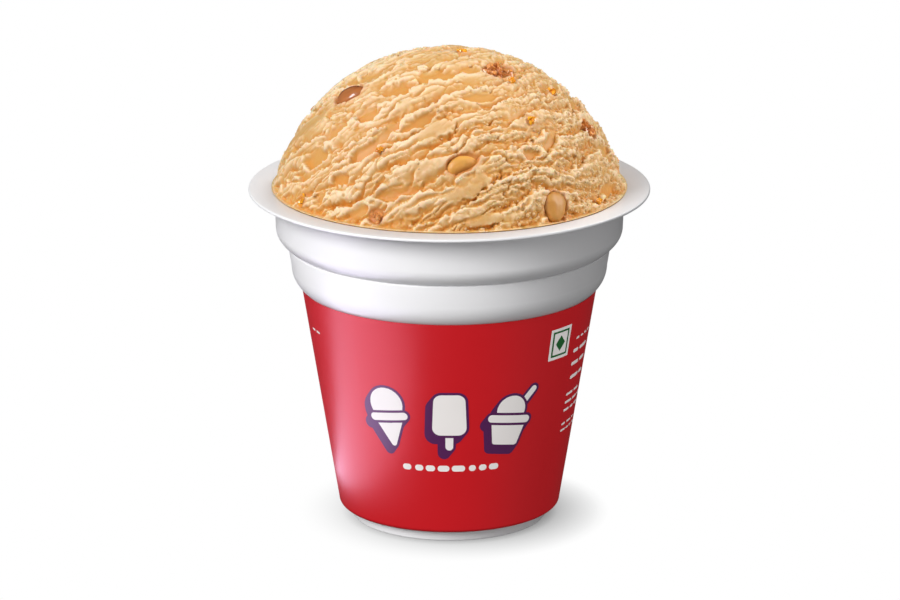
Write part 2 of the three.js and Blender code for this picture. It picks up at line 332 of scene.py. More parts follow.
def makeRoom():
    world = bpy.data.worlds.new("world")
    world.use_nodes = True
    scene.world = world
    tree = world.node_tree
    direction = tree.nodes.new("ShaderNodeTexCoord")
    facing = addNode(tree, "ShaderNodeVectorMath", [
        (0, direction.outputs["Generated"]), (1, studio["worldFrom"])], operation="DOT_PRODUCT")
    side = addNode(tree, "ShaderNodeMapRange", [
        ("Value", facing.outputs["Value"]), ("From Min", -1.0), ("From Max", 1.0),
        ("To Min", studio["worldLeast"]), ("To Max", studio["worldMost"])])
    seen = whiteShader(tree, "ShaderNodeBackground", 1.0)
    other = whiteShader(tree, "ShaderNodeBackground", dimmed(tree, side.outputs[0]))
    cameraMix(tree, seen, other, tree.nodes["World Output"])


def makeFloor():
    bpy.ops.mesh.primitive_circle_add(vertices=96, radius=studio["floorRadius"], fill_type="NGON")
    floor = bpy.context.object
    floor.name = "floor"
    paint = bpy.data.materials.new("floorPaint")
    paint.use_nodes = True
    tree = paint.node_tree
    tree.nodes.remove(tree.nodes["Principled BSDF"])
    lean = addNode(tree, "ShaderNodeCombineXYZ", enumerate(studio["shadowLean"]))
    shade = addNode(tree, "ShaderNodeAmbientOcclusion", [
        ("Distance", studio["shadowReach"]), ("Normal", lean.outputs[0])], samples=32)
    light = maths(tree, "POWER", shade.outputs["AO"], studio["shadowCurve"])
    seen = whiteShader(tree, "ShaderNodeEmission", light)
    other = whiteShader(tree, "ShaderNodeEmission", dimmed(tree, studio["floorBounce"]))
    cameraMix(tree, seen, other, tree.nodes["Material Output"])
    floor.data.materials.append(paint)
    floor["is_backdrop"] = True


def addLamp(name, place, size, power, target):
    data = bpy.data.lights.new(name, "AREA")
    data.shape = "RECTANGLE"
    data.size, data.size_y = size
    data.energy = power
    lamp = bpy.data.objects.new(name, data)
    lamp.location = place
    lamp.rotation_euler = (Vector(target) - Vector(place)).to_track_quat("-Z", "Y").to_euler()
    lamp.visible_camera = False
    scene.collection.objects.link(lamp)
    return lamp


def collect(name, things):
    group = bpy.data.collections.new(name)
    for thing in things:
        group.objects.link(thing)
    return group


def makeLamps(lit):
    # lit: the objects that each kind of lamp reaches
    for name, spec in lamps.items():
        lamp = addLamp(name, spec["place"], (spec["size"], spec["size"]), spec["power"], studio["aim"])
        lamp.data.color = spec.get("colour", (1, 1, 1))
        lamp.light_linking.receiver_collection = collect(name + "Reaches", lit[spec["lights"]])
    x, y, z = card["place"]
    strip = addLamp("card", card["place"], card["size"], card["power"], (x, y, 1))
    strip.rotation_euler = (math.pi, 0, 0)
    strip.data.color = card["colour"]
    strip.visible_diffuse = False


makeCamera()
scene.view_settings.view_transform = "Standard"
makeRoom()
makeFloor()
print("camera and studio made")


# The cup and its printed film are profiles turned about the axis
cup = {
    "height": 63.8, "rimRadius": 37.5, "rimThickness": 0.6, "openingRadius": 33.45, "wall": 0.6,
    "upperBand": {"top": 32.7, "bottom": 32.46, "edgeHeight": 56.3, "edgeWidth": 6.46, "edgeDrop": 4.23},
    "lowerBand": {"top": 30.18, "bottom": 29.59, "edgeHeight": 49.0, "edgeWidth": 4.6, "edgeDrop": 5.0},
    "bodyTop": 27.7, "bodyBottom": 20.87, "bottomHeight": 3.2, "corner": 0.9,
    "footRadius": 18.4, "footFlare": 0.15, "footWidth": 1.4, "footDraft": 0.3, "footRecess": 2.0,
    "floorHeight": 3.7, "floorFillet": 1.0,
    "fillet": 0.35,
    "bead": 0.3,  # the small shoulder on which the lower band starts
    "segments": 224,
}
film = {"thickness": 0.3, "gap": 0.05, "topGap": 0.1, "underWidth": 0.65}
skin = film["thickness"] + film["gap"]


def bandEdge(band, endRadius, inset, steps=18):
    centre = band["bottom"] - band["edgeWidth"]
    width = band["edgeWidth"] - inset
    drop = band["edgeDrop"] - inset
    last = math.acos((endRadius - centre) / width)
    turns = [last * i / steps for i in range(steps + 1)]
    return [(centre + width * math.cos(a), band["edgeHeight"] - drop * math.sin(a)) for a in turns]


def edgeHeightAt(band, radius):
    reach = (radius - band["bottom"] + band["edgeWidth"]) / band["edgeWidth"]
    return band["edgeHeight"] - band["edgeDrop"] * math.sqrt(1 - reach * reach)


def roundCorner(radius, height, size, start, end, steps=8):
    turns = [math.radians(start + (end - start) * i / steps) for i in range(steps + 1)]
    return [(radius + size * math.cos(a), height + size * math.sin(a)) for a in turns]


def insideProfile(gap):
    upper, lower = cup["upperBand"], cup["lowerBand"]
    inset = cup["wall"] + gap
    lip = cup["openingRadius"] - upper["top"] + cup["wall"]
    fillet = cup["floorFillet"]
    floorCorner = cup["bodyBottom"] - skin - inset - fillet
    return [
        *roundCorner(cup["openingRadius"], cup["height"] - lip, lip + gap, 90, 180),
        *bandEdge(upper, lower["top"] - inset, inset),
        *bandEdge(lower, cup["bodyTop"] - skin - inset, inset),
        *roundCorner(floorCorner, cup["floorHeight"] + fillet + gap, fillet, 0, -90),
        (0, cup["floorHeight"] + gap),
    ]


def cupProfile():
    upper, lower = cup["upperBand"], cup["lowerBand"]
    corner = cup["corner"] - skin
    cornerRadius = cup["bodyBottom"] - cup["corner"]
    under = cup["height"] - cup["rimThickness"]
    edge = cup["rimThickness"] / 2
    fillet = cup["fillet"]
    footInside = cup["footRadius"] - cup["footWidth"]
    ledge = lower["top"] - cup["bead"]  # the upper band ends here, on the lower band's shoulder
    ledgeHeight = edgeHeightAt(upper, ledge)
    return [
        (0, cup["footRecess"]),
        (footInside - cup["footDraft"], cup["footRecess"]),
        *roundCorner(footInside + fillet, fillet, fillet, 180, 270, 4),
        *roundCorner(cup["footRadius"] - fillet, fillet, fillet, 270, 360, 4),
        (cup["footRadius"] + cup["footFlare"], cup["bottomHeight"] - corner),
        *roundCorner(cornerRadius, cup["bottomHeight"], corner, -90, 0),
        *bandEdge(lower, cup["bodyTop"] - skin, 0)[::-1],
        *roundCorner(ledge, ledgeHeight - cup["bead"], cup["bead"], 0, 90, 5),
        *bandEdge(upper, ledge, 0)[-2::-1],
        (upper["top"], under - fillet),
        *roundCorner(upper["top"] + fillet, under - fillet, fillet, 180, 90, 4),
        *roundCorner(cup["rimRadius"] - edge, under + edge, edge, -90, 90),
        *insideProfile(0),
    ]


def filmProfile():
    radius = cup["bodyBottom"] - cup["corner"]
    inner = cup["corner"] - film["thickness"]
    end = radius - film["underWidth"]
    top = cup["bodyTop"]
    back = top - film["thickness"]
    outline = [
        (end, cup["bottomHeight"] - cup["corner"]),
        *roundCorner(radius, cup["bottomHeight"], cup["corner"], -90, 0),
        (top, edgeHeightAt(cup["lowerBand"], top) - film["topGap"]),
        (back, edgeHeightAt(cup["lowerBand"], back) - film["topGap"]),
        *roundCorner(radius, cup["bottomHeight"], inner, 0, -90),
        (end, cup["bottomHeight"] - inner),
    ]
    return [*outline, outline[0]]


def makeLatheTree(paint):
    # a profile of points (radius, 0, height) turned about the axis in a number of segments
    tree = newTree("lathe", [("Segments", "Int", 96), ("Weld", "Float", 1e-6)])
    first, last = ends(tree)
    profile = first.outputs["Geometry"]
    segments = first.outputs["Segments"]
    size = addNode(tree, "GeometryNodeAttributeDomainSize", [("Geometry", profile)])
    columns = maths(tree, "ADD", segments, 1.0)
    grid = addNode(tree, "GeometryNodeMeshGrid", [
        ("Vertices X", size.outputs["Point Count"]), ("Vertices Y", columns)])
    index = addNode(tree, "GeometryNodeInputIndex").outputs[0]
    row = maths(tree, "FLOOR", maths(tree, "DIVIDE", maths(tree, "ADD", index, 0.5), columns))
    column = maths(tree, "SUBTRACT", index, maths(tree, "MULTIPLY", row, columns))
    position = addNode(tree, "GeometryNodeInputPosition").outputs[0]
    sample = addNode(tree, "GeometryNodeSampleIndex", data_type="FLOAT_VECTOR", domain="POINT")
    tree.links.new(profile, sample.inputs["Geometry"])
    tree.links.new(position, sample.inputs["Value"])
    tree.links.new(row, sample.inputs["Index"])
    split = addNode(tree, "ShaderNodeSeparateXYZ", [(0, sample.outputs[0])])
    turn = maths(tree, "MULTIPLY", maths(tree, "DIVIDE", column, segments), 2 * math.pi)
    forward = maths(tree, "MULTIPLY", maths(tree, "COSINE", turn), -1.0)
    place = addNode(tree, "ShaderNodeCombineXYZ", [
        (0, maths(tree, "MULTIPLY", split.outputs[0], maths(tree, "SINE", turn))),
        (1, maths(tree, "MULTIPLY", split.outputs[0], forward)),
        (2, split.outputs[2])])
    moved = addNode(tree, "GeometryNodeSetPosition", [
        ("Geometry", grid.outputs[0]), ("Position", place.outputs[0])])
    welded = addNode(tree, "GeometryNodeMergeByDistance", [
        ("Geometry", moved.outputs[0]), ("Distance", first.outputs["Weld"])])
    endTree(tree, welded.outputs[0], paint)
    return tree


def turnedPiece(name, profile, paint, sharpDegrees=32):
    piece = newPiece(name, [(r, 0, z) for r, z in profile], [])
    runTree(piece, makeLatheTree(paint), {"Segments": cup["segments"]})
    faceOutwards(piece)
    smoothShade(piece)
    piece.data.set_sharp_from_angle(angle=math.radians(sharpDegrees))
    return piece


plasticPaint = mottledMaterial(
    "whitePlastic", ((0.86, 0.855, 0.865), (0.84, 0.835, 0.85), 60.0), (900.0, 0.05, 0.0003),
    Roughness=0.38, Specular_IOR_Level=0.35, Coat_Weight=0.1, Coat_Roughness=0.15, Subsurface_Weight=0.12,
    Subsurface_Radius=(1.0, 1.0, 1.0), Subsurface_Scale=0.001, IOR=1.49)
filmPaint = mottledMaterial(
    "redPrint", ((0.565, 0.0072, 0.0125), (0.545, 0.0066, 0.0115), 50.0), (1400.0, 0.04, 0.0002),
    Roughness=0.4, Specular_IOR_Level=0.35, Coat_Weight=0.05, Coat_Roughness=0.25, IOR=1.5)

cupPiece = turnedPiece("cup_body", cupProfile(), plasticPaint)
finishPiece(cupPiece, "cup_plastic", "cup")
filmPiece = turnedPiece("red_film", filmProfile(), filmPaint)
finishPiece(filmPiece, "sleeve_print", "printed_sleeve")
print("cup and film made")


# Noise: random values on a whole-number lattice, blended smoothly, from 0 to 1
def latticeValue(i, j, k):
    h = (i * 374761393 + j * 668265263 + k * 1274126177) & 0xFFFFFFFF
    h = ((h ^ (h >> 13)) * 1103515245) & 0xFFFFFFFF
    return (h ^ (h >> 16)) / 4294967296


def noiseAt(points, size, seed):
    q = points / size
    q[:, 0] += seed
    cell = np.floor(q).astype(np.int64)
    t = q - cell
    t = t * t * (3 - 2 * t)
    total = np.zeros(len(q))
    for step in itertools.product((0, 1), repeat=3):
        weight = np.prod([t[:, a] if step[a] else 1 - t[:, a] for a in range(3)], axis=0)
        total += weight * latticeValue(*(cell[:, a] + step[a] for a in range(3)))
    return total


def mixedNoise(points, sizes, seed):
    # noise of several sizes, each with its reach, about 0
    return sum(reach * (noiseAt(points, size, seed + n) - 0.5) for n, (size, reach) in enumerate(sizes))


def nearestOf(points, size, seed):
    # distance to the nearest of scattered points, one in each cell of a size, in cells
    q = points / size
    cell = np.floor(q).astype(np.int64)
    nearest = np.full(len(q), 9.0)
    for step in itertools.product((-1, 0, 1), repeat=3):
        here = [cell[:, a] + step[a] for a in range(3)]
        i, j, k = here
        away = [here[a] + latticeValue(i + seed + 31 * a, j, k) - q[:, a] for a in range(3)]
        nearest = np.minimum(nearest, np.sqrt(away[0] ** 2 + away[1] ** 2 + away[2] ** 2))
    return nearest


def smoothstep(x, low, high):
    t = np.clip((x - low) / (high - low), 0, 1)
    return t * t * (3 - 2 * t)


# The ice cream: a superellipse dome whose furrows run round one direction
dome = {"radius": 33.33, "rise": 28.66, "base": 61.0, "riseExponent": 1.597, "radiusExponent": 2.215,
        "foot": 63.95, "calm": 0.25}
pole = np.array([0.45, -0.5, -0.74])
pole /= np.linalg.norm(pole)
# Torn steps of three sizes. Each falls gently towards the pole and ends at a ragged lip.
# patch: size of the areas where the steps are deep; least: their share of the depth elsewhere
steps = [
    {"spacing": 5.2, "depth": 1.35, "wander": 6.0, "wanderSize": 9.0, "patch": 6.0, "patchSeed": 31,
     "least": 0.4, "flat": 0.16, "ragged": [(2.6, 0.16), (1.2, 0.24), (0.6, 0.2)], "wall": 0.32, "seed": 0},
    {"spacing": 2.5, "depth": 0.85, "wander": 4.4, "wanderSize": 4.2, "patch": 3.6, "patchSeed": 57,
     "least": 0.0, "flat": 0.35, "ragged": [(1.5, 0.3), (0.7, 0.3)], "wall": 0.24, "seed": 12},
    {"spacing": 1.25, "depth": 0.45, "wander": 2.2, "wanderSize": 2.8, "patch": 2.8, "patchSeed": 77,
     "least": 0.0, "flat": 0.4, "ragged": [(0.9, 0.3), (0.45, 0.2)], "wall": 0.16, "seed": 23},
]
furrowReach = 30.0  # dome radius that turns the angle from the pole into millimetres
# Smooth hollows: bearing, height, length, width, turn from the furrows' direction, depth
hollows = [
    (-69, 87.0, 9.0, 3.8, 20, 1.5), (-38, 86.2, 10.0, 4.4, -13, 2.0), (-45, 82.3, 6.2, 4.4, -9, 2.1),
    (-57, 78.5, 8.6, 3.8, 10, 2.0), (-60, 73.8, 8.2, 4.6, -12, 2.0), (-36, 76.6, 6.2, 3.6, 10, 2.2),
    (-29, 80.3, 7.6, 3.4, 19, 2.1), (-42, 71.6, 4.4, 3.0, -30, 2.0), (-60, 69.8, 4.2, 2.8, -14, 1.6),
    (-49, 67.4, 4.4, 2.8, 13, 1.6), (-19, 70.6, 10.0, 3.0, -18, 1.8), (-15, 88.2, 9.4, 5.0, -14, 1.9),
    (25, 88.6, 4.4, 3.8, -14, 1.6), (19, 85.6, 9.2, 3.0, -17, 1.6), (-15, 82.3, 8.6, 3.4, 11, 1.9),
    (34, 76.2, 3.8, 2.8, -7, 1.7), (47, 77.9, 7.9, 2.6, 36, 1.6), (-32, 66.2, 5.2, 2.8, 0, 1.6),
]
farHollows = {"count": 26, "bearing": (66, 286), "height": (66.5, 86.5), "length": (4, 10),
              "width": (2.6, 4.6), "turn": (-18, 18), "depth": (1.5, 2.1)}
# Smooth smeared tongues, as the hollows but shallow
smears = [
    (-6, 80.6, 10.0, 4.4, 4, 0.3), (7, 71.5, 11.0, 4.0, 0, 0.25), (12, 66.0, 9.0, 2.4, -16, 0.3),
    (-82, 76.0, 20.0, 3.6, 0, 0.15), (-138, 83.0, 14.0, 12.0, 0, 0.3),
]


def domeRadius(height):
    rise = np.clip((height - dome["base"]) / dome["rise"], 0, 1)
    return dome["radius"] * (1 - rise ** dome["riseExponent"]) ** (1 / dome["radiusExponent"])


def domePoint(bearing, height):
    radius = domeRadius(height)
    return np.stack([radius * np.sin(bearing), -radius * np.cos(bearing), height + 0 * bearing], -1)


def surfacePoint(bearingDegrees, height):
    # one place on the smooth dome
    return domePoint(np.float64(math.radians(bearingDegrees)), np.float64(height))


def domeNormal(bearing, height, step=0.02):
    top = dome["base"] + dome["rise"]
    low, high = height - step, np.minimum(height + step, top)
    slope = (domeRadius(low) - domeRadius(high)) / (high - low)
    normal = np.stack([np.sin(bearing), -np.cos(bearing), slope], -1)
    return normal / np.linalg.norm(normal, axis=-1, keepdims=True)


def surfaceAxes(bearing, height, direction, turnDegrees):
    # a direction laid into the dome's surface and turned, the one across it, and the normal
    normal = domeNormal(np.float64(bearing), np.float64(height))
    length = direction - direction @ normal * normal
    length /= np.linalg.norm(length)
    turn = math.radians(turnDegrees)
    length = length * math.cos(turn) + np.cross(normal, length) * math.sin(turn)
    return length, np.cross(normal, length), normal


def placeHollow(bearingDegrees, height, length, width, turn, depth):
    bearing = math.radians(bearingDegrees)
    centre = surfacePoint(bearingDegrees, height)
    out = centre - np.array([0, 0, dome["base"]])
    axes = surfaceAxes(bearing, height, np.cross(pole, out), turn)
    return {"centre": centre, "axes": axes, "length": length, "width": width, "depth": depth}


def drawn(limits, hollow, size):
    return limits[0] + (limits[1] - limits[0]) * float(latticeValue(hollow, size, 7))


sizesOfHollow = ("bearing", "height", "length", "width", "turn", "depth")
farRows = [
    [drawn(farHollows[size], i, s + 1) for s, size in enumerate(sizesOfHollow)]
    for i in range(farHollows["count"])
]
placedHollows = [placeHollow(*row) for row in [*hollows, *farRows]]
placedSmears = [placeHollow(*row) for row in smears]

# Nuts and caramel: where they lie, length, width and thickness, turn of the length from level
inclusions = {
    "nut_left": {"at": (-70, 83.5), "size": (6.6, 4.4, 3.4), "turn": 48},
    "nut_front": {"at": (4.8, 75.6), "size": (6.4, 3.6, 3.2), "turn": 20},
    "nut_right": {"at": (37.9, 66.6), "size": (6.2, 5.2, 3.6), "turn": 78},
    "nut_back": {"at": (168, 79.5), "size": (6.4, 4.2, 3.4), "turn": -30},
    "nut_back_low": {"at": (-142, 70.0), "size": (5.8, 4.6, 3.4), "turn": 60},
    "crunch_top": {"at": (54.6, 88.0), "size": (7.2, 4.8, 2.6), "turn": -12},
    "crunch_right": {"at": (76.5, 76.6), "size": (4.2, 3.6, 2.6), "turn": 70},
    "crunch_low": {"at": (-24.7, 66.0), "size": (3.2, 2.8, 2.4), "turn": 30},
}
# Small amber crumbs: bearing, height and size
crumbs = [
    (-56.9, 65.9, 2.2), (120, 89.6, 2.8), (50.1, 86.4, 1.6), (40.8, 80.9, 2.3), (58.3, 65.6, 1.4),
    (72.2, 83.5, 2.2), (-28.7, 76.8, 1.6), (134, 73.5, 2.2), (-166, 85.0, 1.9), (-112, 76.0, 2.1),
    (103, 67.0, 1.8),
]


def inclusionAxes(spec):
    bearing = math.radians(spec["at"][0])
    level = np.array([math.cos(bearing), math.sin(bearing), 0])
    return surfaceAxes(bearing, spec["at"][1], level, spec["turn"])


relief = {
    "lumps": [(3.1, 0.34), (1.3, 0.2)],
    "endFade": (2, 12), "endReach": (5, 21),  # furrows fade and stray where their circles close, in mm
    "endWander": 1.6, "endDrift": 1.35, "endWay": (-0.743, -0.669, 0),
    "skin": 0.28,  # what the scoop pressed flat again: shallower parts lie in the smooth dome
    "lip": 0.16, "lipWidth": 0.3,  # raised edge behind a torn step
    "lipAt": 0.82,  # share of a step at which it drops off
    "crumblySide": (-6, 22),  # from where to where along x the dome turns crumbly
    "hollowDepth": 0.78,  # share of a hollow's full depth
    "hollowRough": [(2.2, 0.5), (0.9, 0.36), (0.45, 0.16)],
    "gentleEdge": 1.0, "steepEdge": 0.26,  # share of a hollow over which its two sides slope
    "smoothed": 0.88,  # share of the fine relief that a smooth part loses
    "patchSize": 5.5, "crumblySize": 4.0,  # areas with more pores, and with more grains
    "grainSize": 0.9, "grainDepth": 0.26, "fineSize": 0.5, "fineDepth": 0.04,
    "poreSize": 1.8, "poreDepth": 0.36, "poreRough": [(0.7, 0.3)], "poreEdge": (0.14, 0.36),
    "socketMargin": 1.03, "socketDepth": 1.1, "crumbDepth": 0.3,
}


def tornStep(points, theta, step):
    # depth of one size of torn step, and how near its lip is
    toEnd = furrowReach * (math.pi - theta)
    nearEnd = 1 - smoothstep(toEnd, *relief["endReach"])
    drift = relief["endDrift"] * nearEnd * (points @ np.array(relief["endWay"]))
    stray = 1 + relief["endWander"] * nearEnd
    wander = step["wander"] * stray * (noiseAt(points, step["wanderSize"], step["seed"]) - 0.5)
    across = (furrowReach * theta + drift + wander) / step["spacing"]
    phase = np.ceil(across) - across
    wall = step["wall"] / step["spacing"]
    lipAt = relief["lipAt"] + mixedNoise(points, step["ragged"], step["seed"] + 40)
    lipAt = np.clip(lipAt, 0.5, 0.97 - wall)
    start = 2 * step["flat"] * noiseAt(points, step["wanderSize"] / 2, step["seed"] + 50)
    patch = noiseAt(points, step["patch"], step["patchSeed"])
    if step["least"] > 0:
        strength = step["least"] + (1 - step["least"]) * patch
    else:
        strength = smoothstep(patch, 0.22, 0.6)
    strength *= smoothstep(toEnd, *relief["endFade"])
    down = np.clip((phase - start) / (lipAt - start), 0, 1) ** 1.2
    depth = step["depth"] * strength * down * (1 - smoothstep(phase, lipAt, lipAt + wall))
    lip = np.exp(-((phase - lipAt - wall) * step["spacing"] / relief["lipWidth"]) ** 2)
    return depth, strength * np.where(phase > lipAt, lip, 0)


def inHollow(points, hollow):
    # places along and across an ellipse, from -1 to 1 inside it
    offset = points - hollow["centre"]
    near = np.linalg.norm(offset, axis=1) < hollow["length"]
    along = 2 * (offset @ hollow["axes"][0]) / hollow["length"]
    across = 2 * (offset @ hollow["axes"][1]) / hollow["width"]
    return near, along, across


def socketOf(points, spec):
    # how far inside the hole round a nut or a caramel piece, from 0 to 1
    length, width, _ = spec["size"]
    centre = surfacePoint(*spec["at"])
    hole = {"centre": centre, "axes": inclusionAxes(spec), "length": length * relief["socketMargin"],
            "width": width * relief["socketMargin"]}
    near, along, across = inHollow(points, hole)
    reachOut = np.sqrt(along ** 2 + across ** 2) + mixedNoise(points, [(1.1, 0.22)], 95)
    inside = np.where(near, 1 - smoothstep(reachOut, 0.86, 1.04), 0)
    halo = np.where(near, np.exp(-(np.maximum(reachOut - 0.9, 0) / 0.22) ** 2), 0)
    return inside, halo


def tornRelief(points):
    # coarse and fine depth of steps, pores and grains, and how crumbly each place is
    out = points - np.array([0, 0, dome["base"]])
    out /= np.linalg.norm(out, axis=1, keepdims=True)
    theta = np.arccos(np.clip(out @ pole, -1, 1))
    (large, largeLip), (medium, mediumLip), (small, smallLip) = (
        tornStep(points, theta, step) for step in steps)
    toRight = smoothstep(points[:, 0], *relief["crumblySide"])
    patches = noiseAt(points, relief["patchSize"], 51)
    rough = np.clip(0.35 + 0.45 * toRight + 1.5 * (patches - 0.5), 0, 1)
    broken = noiseAt(points, relief["crumblySize"], 58)
    crumbly = np.clip(0.1 + 0.95 * toRight + 1.1 * (broken - 0.5), 0, 1)

    coarse = large + sum(reach * noiseAt(points, size, 17) for size, reach in relief["lumps"])
    coarse = np.maximum(coarse - relief["skin"], 0) - relief["lip"] * largeLip
    torn = np.maximum(medium, small) + 0.4 * np.minimum(medium, small)
    torn -= 0.5 * relief["lip"] * (mediumLip + 0.6 * smallLip)
    fine = (0.8 + 0.2 * rough - 0.3 * toRight) * torn
    holes = nearestOf(points, relief["poreSize"], 5) + mixedNoise(points, relief["poreRough"], 63)
    pores = 1 - smoothstep(holes, *relief["poreEdge"])
    fine += relief["poreDepth"] * pores * smoothstep(patches, 0.3, 0.6)
    bumps = smoothstep(nearestOf(points, relief["grainSize"], 11), 0.15, 0.85)
    fine += relief["grainDepth"] * (0.25 + 0.75 * crumbly) * bumps
    fine += relief["fineDepth"] * (0.4 + 0.6 * crumbly) * noiseAt(points, relief["fineSize"], 83)
    return coarse, fine, crumbly


def addSmoothParts(points, coarse, fine):
    # smears and hollows sunk into the relief, and how smooth each place is
    smooth = np.zeros(len(points))
    for smear in placedSmears:
        near, along, across = inHollow(points, smear)
        reachOut = np.sqrt(along ** 2 + across ** 2) + mixedNoise(points, relief["hollowRough"], 81)
        inside = np.where(near, 1 - smoothstep(reachOut, 0.72, 1.0), 0)
        coarse += inside * (smear["depth"] - coarse)
        smooth = np.maximum(smooth, 0.85 * inside)
    ragged = mixedNoise(points, relief["hollowRough"], 91)
    gentle, steep = relief["gentleEdge"], relief["steepEdge"]
    for hollow in placedHollows:
        near, along, across = inHollow(points, hollow)
        edge = gentle + (steep - gentle) * smoothstep(across, -0.5, 0.6)
        reachOut = np.sqrt(along ** 2 + across ** 2) + ragged
        inside = np.where(near, smoothstep(1 - reachOut ** 2, 0, edge), 0)
        floorDepth = relief["hollowDepth"] * hollow["depth"] * (0.8 + 0.2 * np.clip(across, -1, 1))
        rim = np.where(near & (across > -0.2), np.exp(-((reachOut - 1.06) / 0.12) ** 2), 0)
        coarse += inside * (floorDepth - coarse)
        fine -= relief["lip"] * rim
        smooth = np.maximum(smooth, smoothstep(inside, 0.3, 0.9))
    return coarse, fine * (1 - relief["smoothed"] * smooth), smooth


def addSockets(points, depth):
    # room for nuts, caramel and crumbs, and where they stain the ice cream
    stain = np.zeros(len(points))
    for spec in inclusions.values():
        inside, halo = socketOf(points, spec)
        depth += inside * (np.maximum(depth, relief["socketDepth"]) - depth)
        stain = np.maximum(stain, halo)
    for bearing, height, size in crumbs:
        away = np.linalg.norm(points - surfacePoint(bearing, height), axis=1) / size
        stain = np.maximum(stain, 0.6 * np.exp(-(away / 0.6) ** 2))
        depth += np.exp(-(away / 0.5) ** 4) * (relief["crumbDepth"] - depth)
    return depth, stain


def iceRelief(points):
    # depth below the smooth dome in millimetres, and masks for colour and grains
    coarse, fine, crumbly = tornRelief(points)
    coarse, fine, smooth = addSmoothParts(points, coarse, fine)
    depth, stain = addSockets(points, np.maximum(coarse + fine, 0))
    calm = smoothstep(points[:, 2] - dome["foot"], 0, dome["calm"])
    return depth * calm, {"crumbly": crumbly * (1 - smooth) * calm * (1 - stain), "stain": stain}


ice = {
    "gridCells": 430,
    "triangles": 186000,
    "fillGap": 0.15,
    "sideReach": 0.08,  # how far the rows inside the cup may leave the wall's profile
    "blurs": [(2.5, 0.22, 0.5), (9.0, 0.7, 0.7)],  # width in cells, depth that counts as full, and share
}


def diskGrid(cells):
    # a square grid laid on the unit disk: ring share and bearing of each corner
    line = np.linspace(-1, 1, cells + 1)
    x, y = np.meshgrid(line, line, indexing="ij")
    wide = np.abs(x) >= np.abs(y)
    big = np.where(wide, x, y)
    small = np.where(wide, y, x)
    safe = np.where(big == 0, 1, big)
    angle = np.where(wide, np.pi / 4 * small / safe, np.pi / 2 - np.pi / 4 * small / safe)
    return np.abs(big), np.where(big < 0, angle + np.pi, angle)


def blurred(grid, width):
    reach = int(3 * width)
    kernel = np.exp(-0.5 * (np.arange(-reach, reach + 1) / width) ** 2)
    kernel /= kernel.sum()
    for axis in (0, 1):
        edges = [(reach, reach) if a == axis else (0, 0) for a in (0, 1)]
        padded = np.pad(grid, edges, mode="edge")
        grid = np.apply_along_axis(np.convolve, axis, padded, kernel, mode="valid")
    return grid


def thinnedLine(points, reach):
    # the fewest points that keep a line within a distance
    (x, y), (endX, endY) = points[0], points[-1]
    span = math.hypot(endX - x, endY - y)
    away = [abs((endX - x) * (q - y) - (endY - y) * (p - x)) / span for p, q in points]
    far = int(np.argmax(away))
    if away[far] < reach:
        return [points[0], points[-1]]
    return thinnedLine(points[:far + 1], reach)[:-1] + thinnedLine(points[far:], reach)


def domeGrid(cells):
    # bearing and height of each corner of the disk's grid, laid over the dome in even cells
    share, bearing = diskGrid(cells)
    heights = np.linspace(dome["foot"], dome["base"] + dome["rise"], 4000)
    radii = domeRadius(heights)
    strip = (radii[1:] + radii[:-1]) / 2 * np.hypot(np.diff(radii), np.diff(heights))
    fromTop = np.concatenate([np.cumsum(strip[::-1])[::-1], [0]])
    height = np.interp(share.ravel() ** 2 * fromTop[0], fromTop[::-1], heights[::-1])
    return bearing.ravel(), height


def cavityOf(depth, cells):
    # the depth against its own blur: below 0 on lips, above 0 in hollows. The ice paint turns it into
    # painted highlight on the lips and painted shade in the hollows
    grid = depth.reshape(cells + 1, cells + 1)
    cavity = np.zeros_like(grid)
    for width, full, part in ice["blurs"]:
        cavity += part * np.clip((grid - blurred(grid, width)) / full, -1, 1)
    return cavity.ravel()


def closedBody(points, bearing, cells):
    # the grid's edge runs over the neck and down inside the cup to the floor
    index = np.arange((cells + 1) ** 2).reshape(cells + 1, cells + 1)
    quads = np.stack([index[:-1, :-1], index[1:, :-1], index[1:, 1:], index[:-1, 1:]], -1).reshape(-1, 4)
    faces = [tuple(q) for q in quads]
    ring = np.concatenate([index[:, 0], index[-1, 1:], index[-2::-1, -1], index[0, -2:0:-1]])
    inside = insideProfile(ice["fillGap"])
    neck = ((domeRadius(dome["foot"]) + inside[0][0]) / 2, cup["height"] + ice["fillGap"])
    allPoints = [points]
    above = ring
    start = len(points)
    for radius, z in [neck, *thinnedLine(inside[1:-1], ice["sideReach"])]:
        row = [radius * np.sin(bearing[ring]), -radius * np.cos(bearing[ring]), np.full(len(ring), z)]
        allPoints.append(np.stack(row, -1))
        here = np.arange(start, start + len(ring))
        faces += list(zip(above, np.roll(above, -1), np.roll(here, -1), here))
        above = here
        start += len(ring)
    allPoints.append(np.array([[0, 0, inside[-1][1]]]))
    faces += [(a, b, start) for a, b in zip(above, np.roll(above, -1))]
    return np.concatenate(allPoints), faces


def makeIceCream(paint):
    cells = ice["gridCells"]
    bearing, height = domeGrid(cells)
    points = domePoint(bearing, height)
    depth, masks = iceRelief(points)
    masks["cavity"] = cavityOf(depth, cells)
    points = points - domeNormal(bearing, height) * depth[:, None]
    bodyPoints, faces = closedBody(points, bearing, cells)
    piece = newPiece("ice_cream_scoop", bodyPoints, faces)
    faceOutwards(piece)
    hidden = np.zeros(len(bodyPoints) - len(points))
    for name, values in masks.items():
        layer = piece.data.attributes.new(name, "FLOAT", "POINT")
        layer.data.foreach_set("value", np.concatenate([values, hidden]).astype(np.float32))
    # fewer triangles where the surface is smooth
    piece.data.calc_loop_triangles()
    thinner = piece.modifiers.new("thin", "DECIMATE")
    thinner.ratio = ice["triangles"] / len(piece.data.loop_triangles)
    applyModifier(piece, thinner)
    piece.data.materials.append(paint)
    return piece


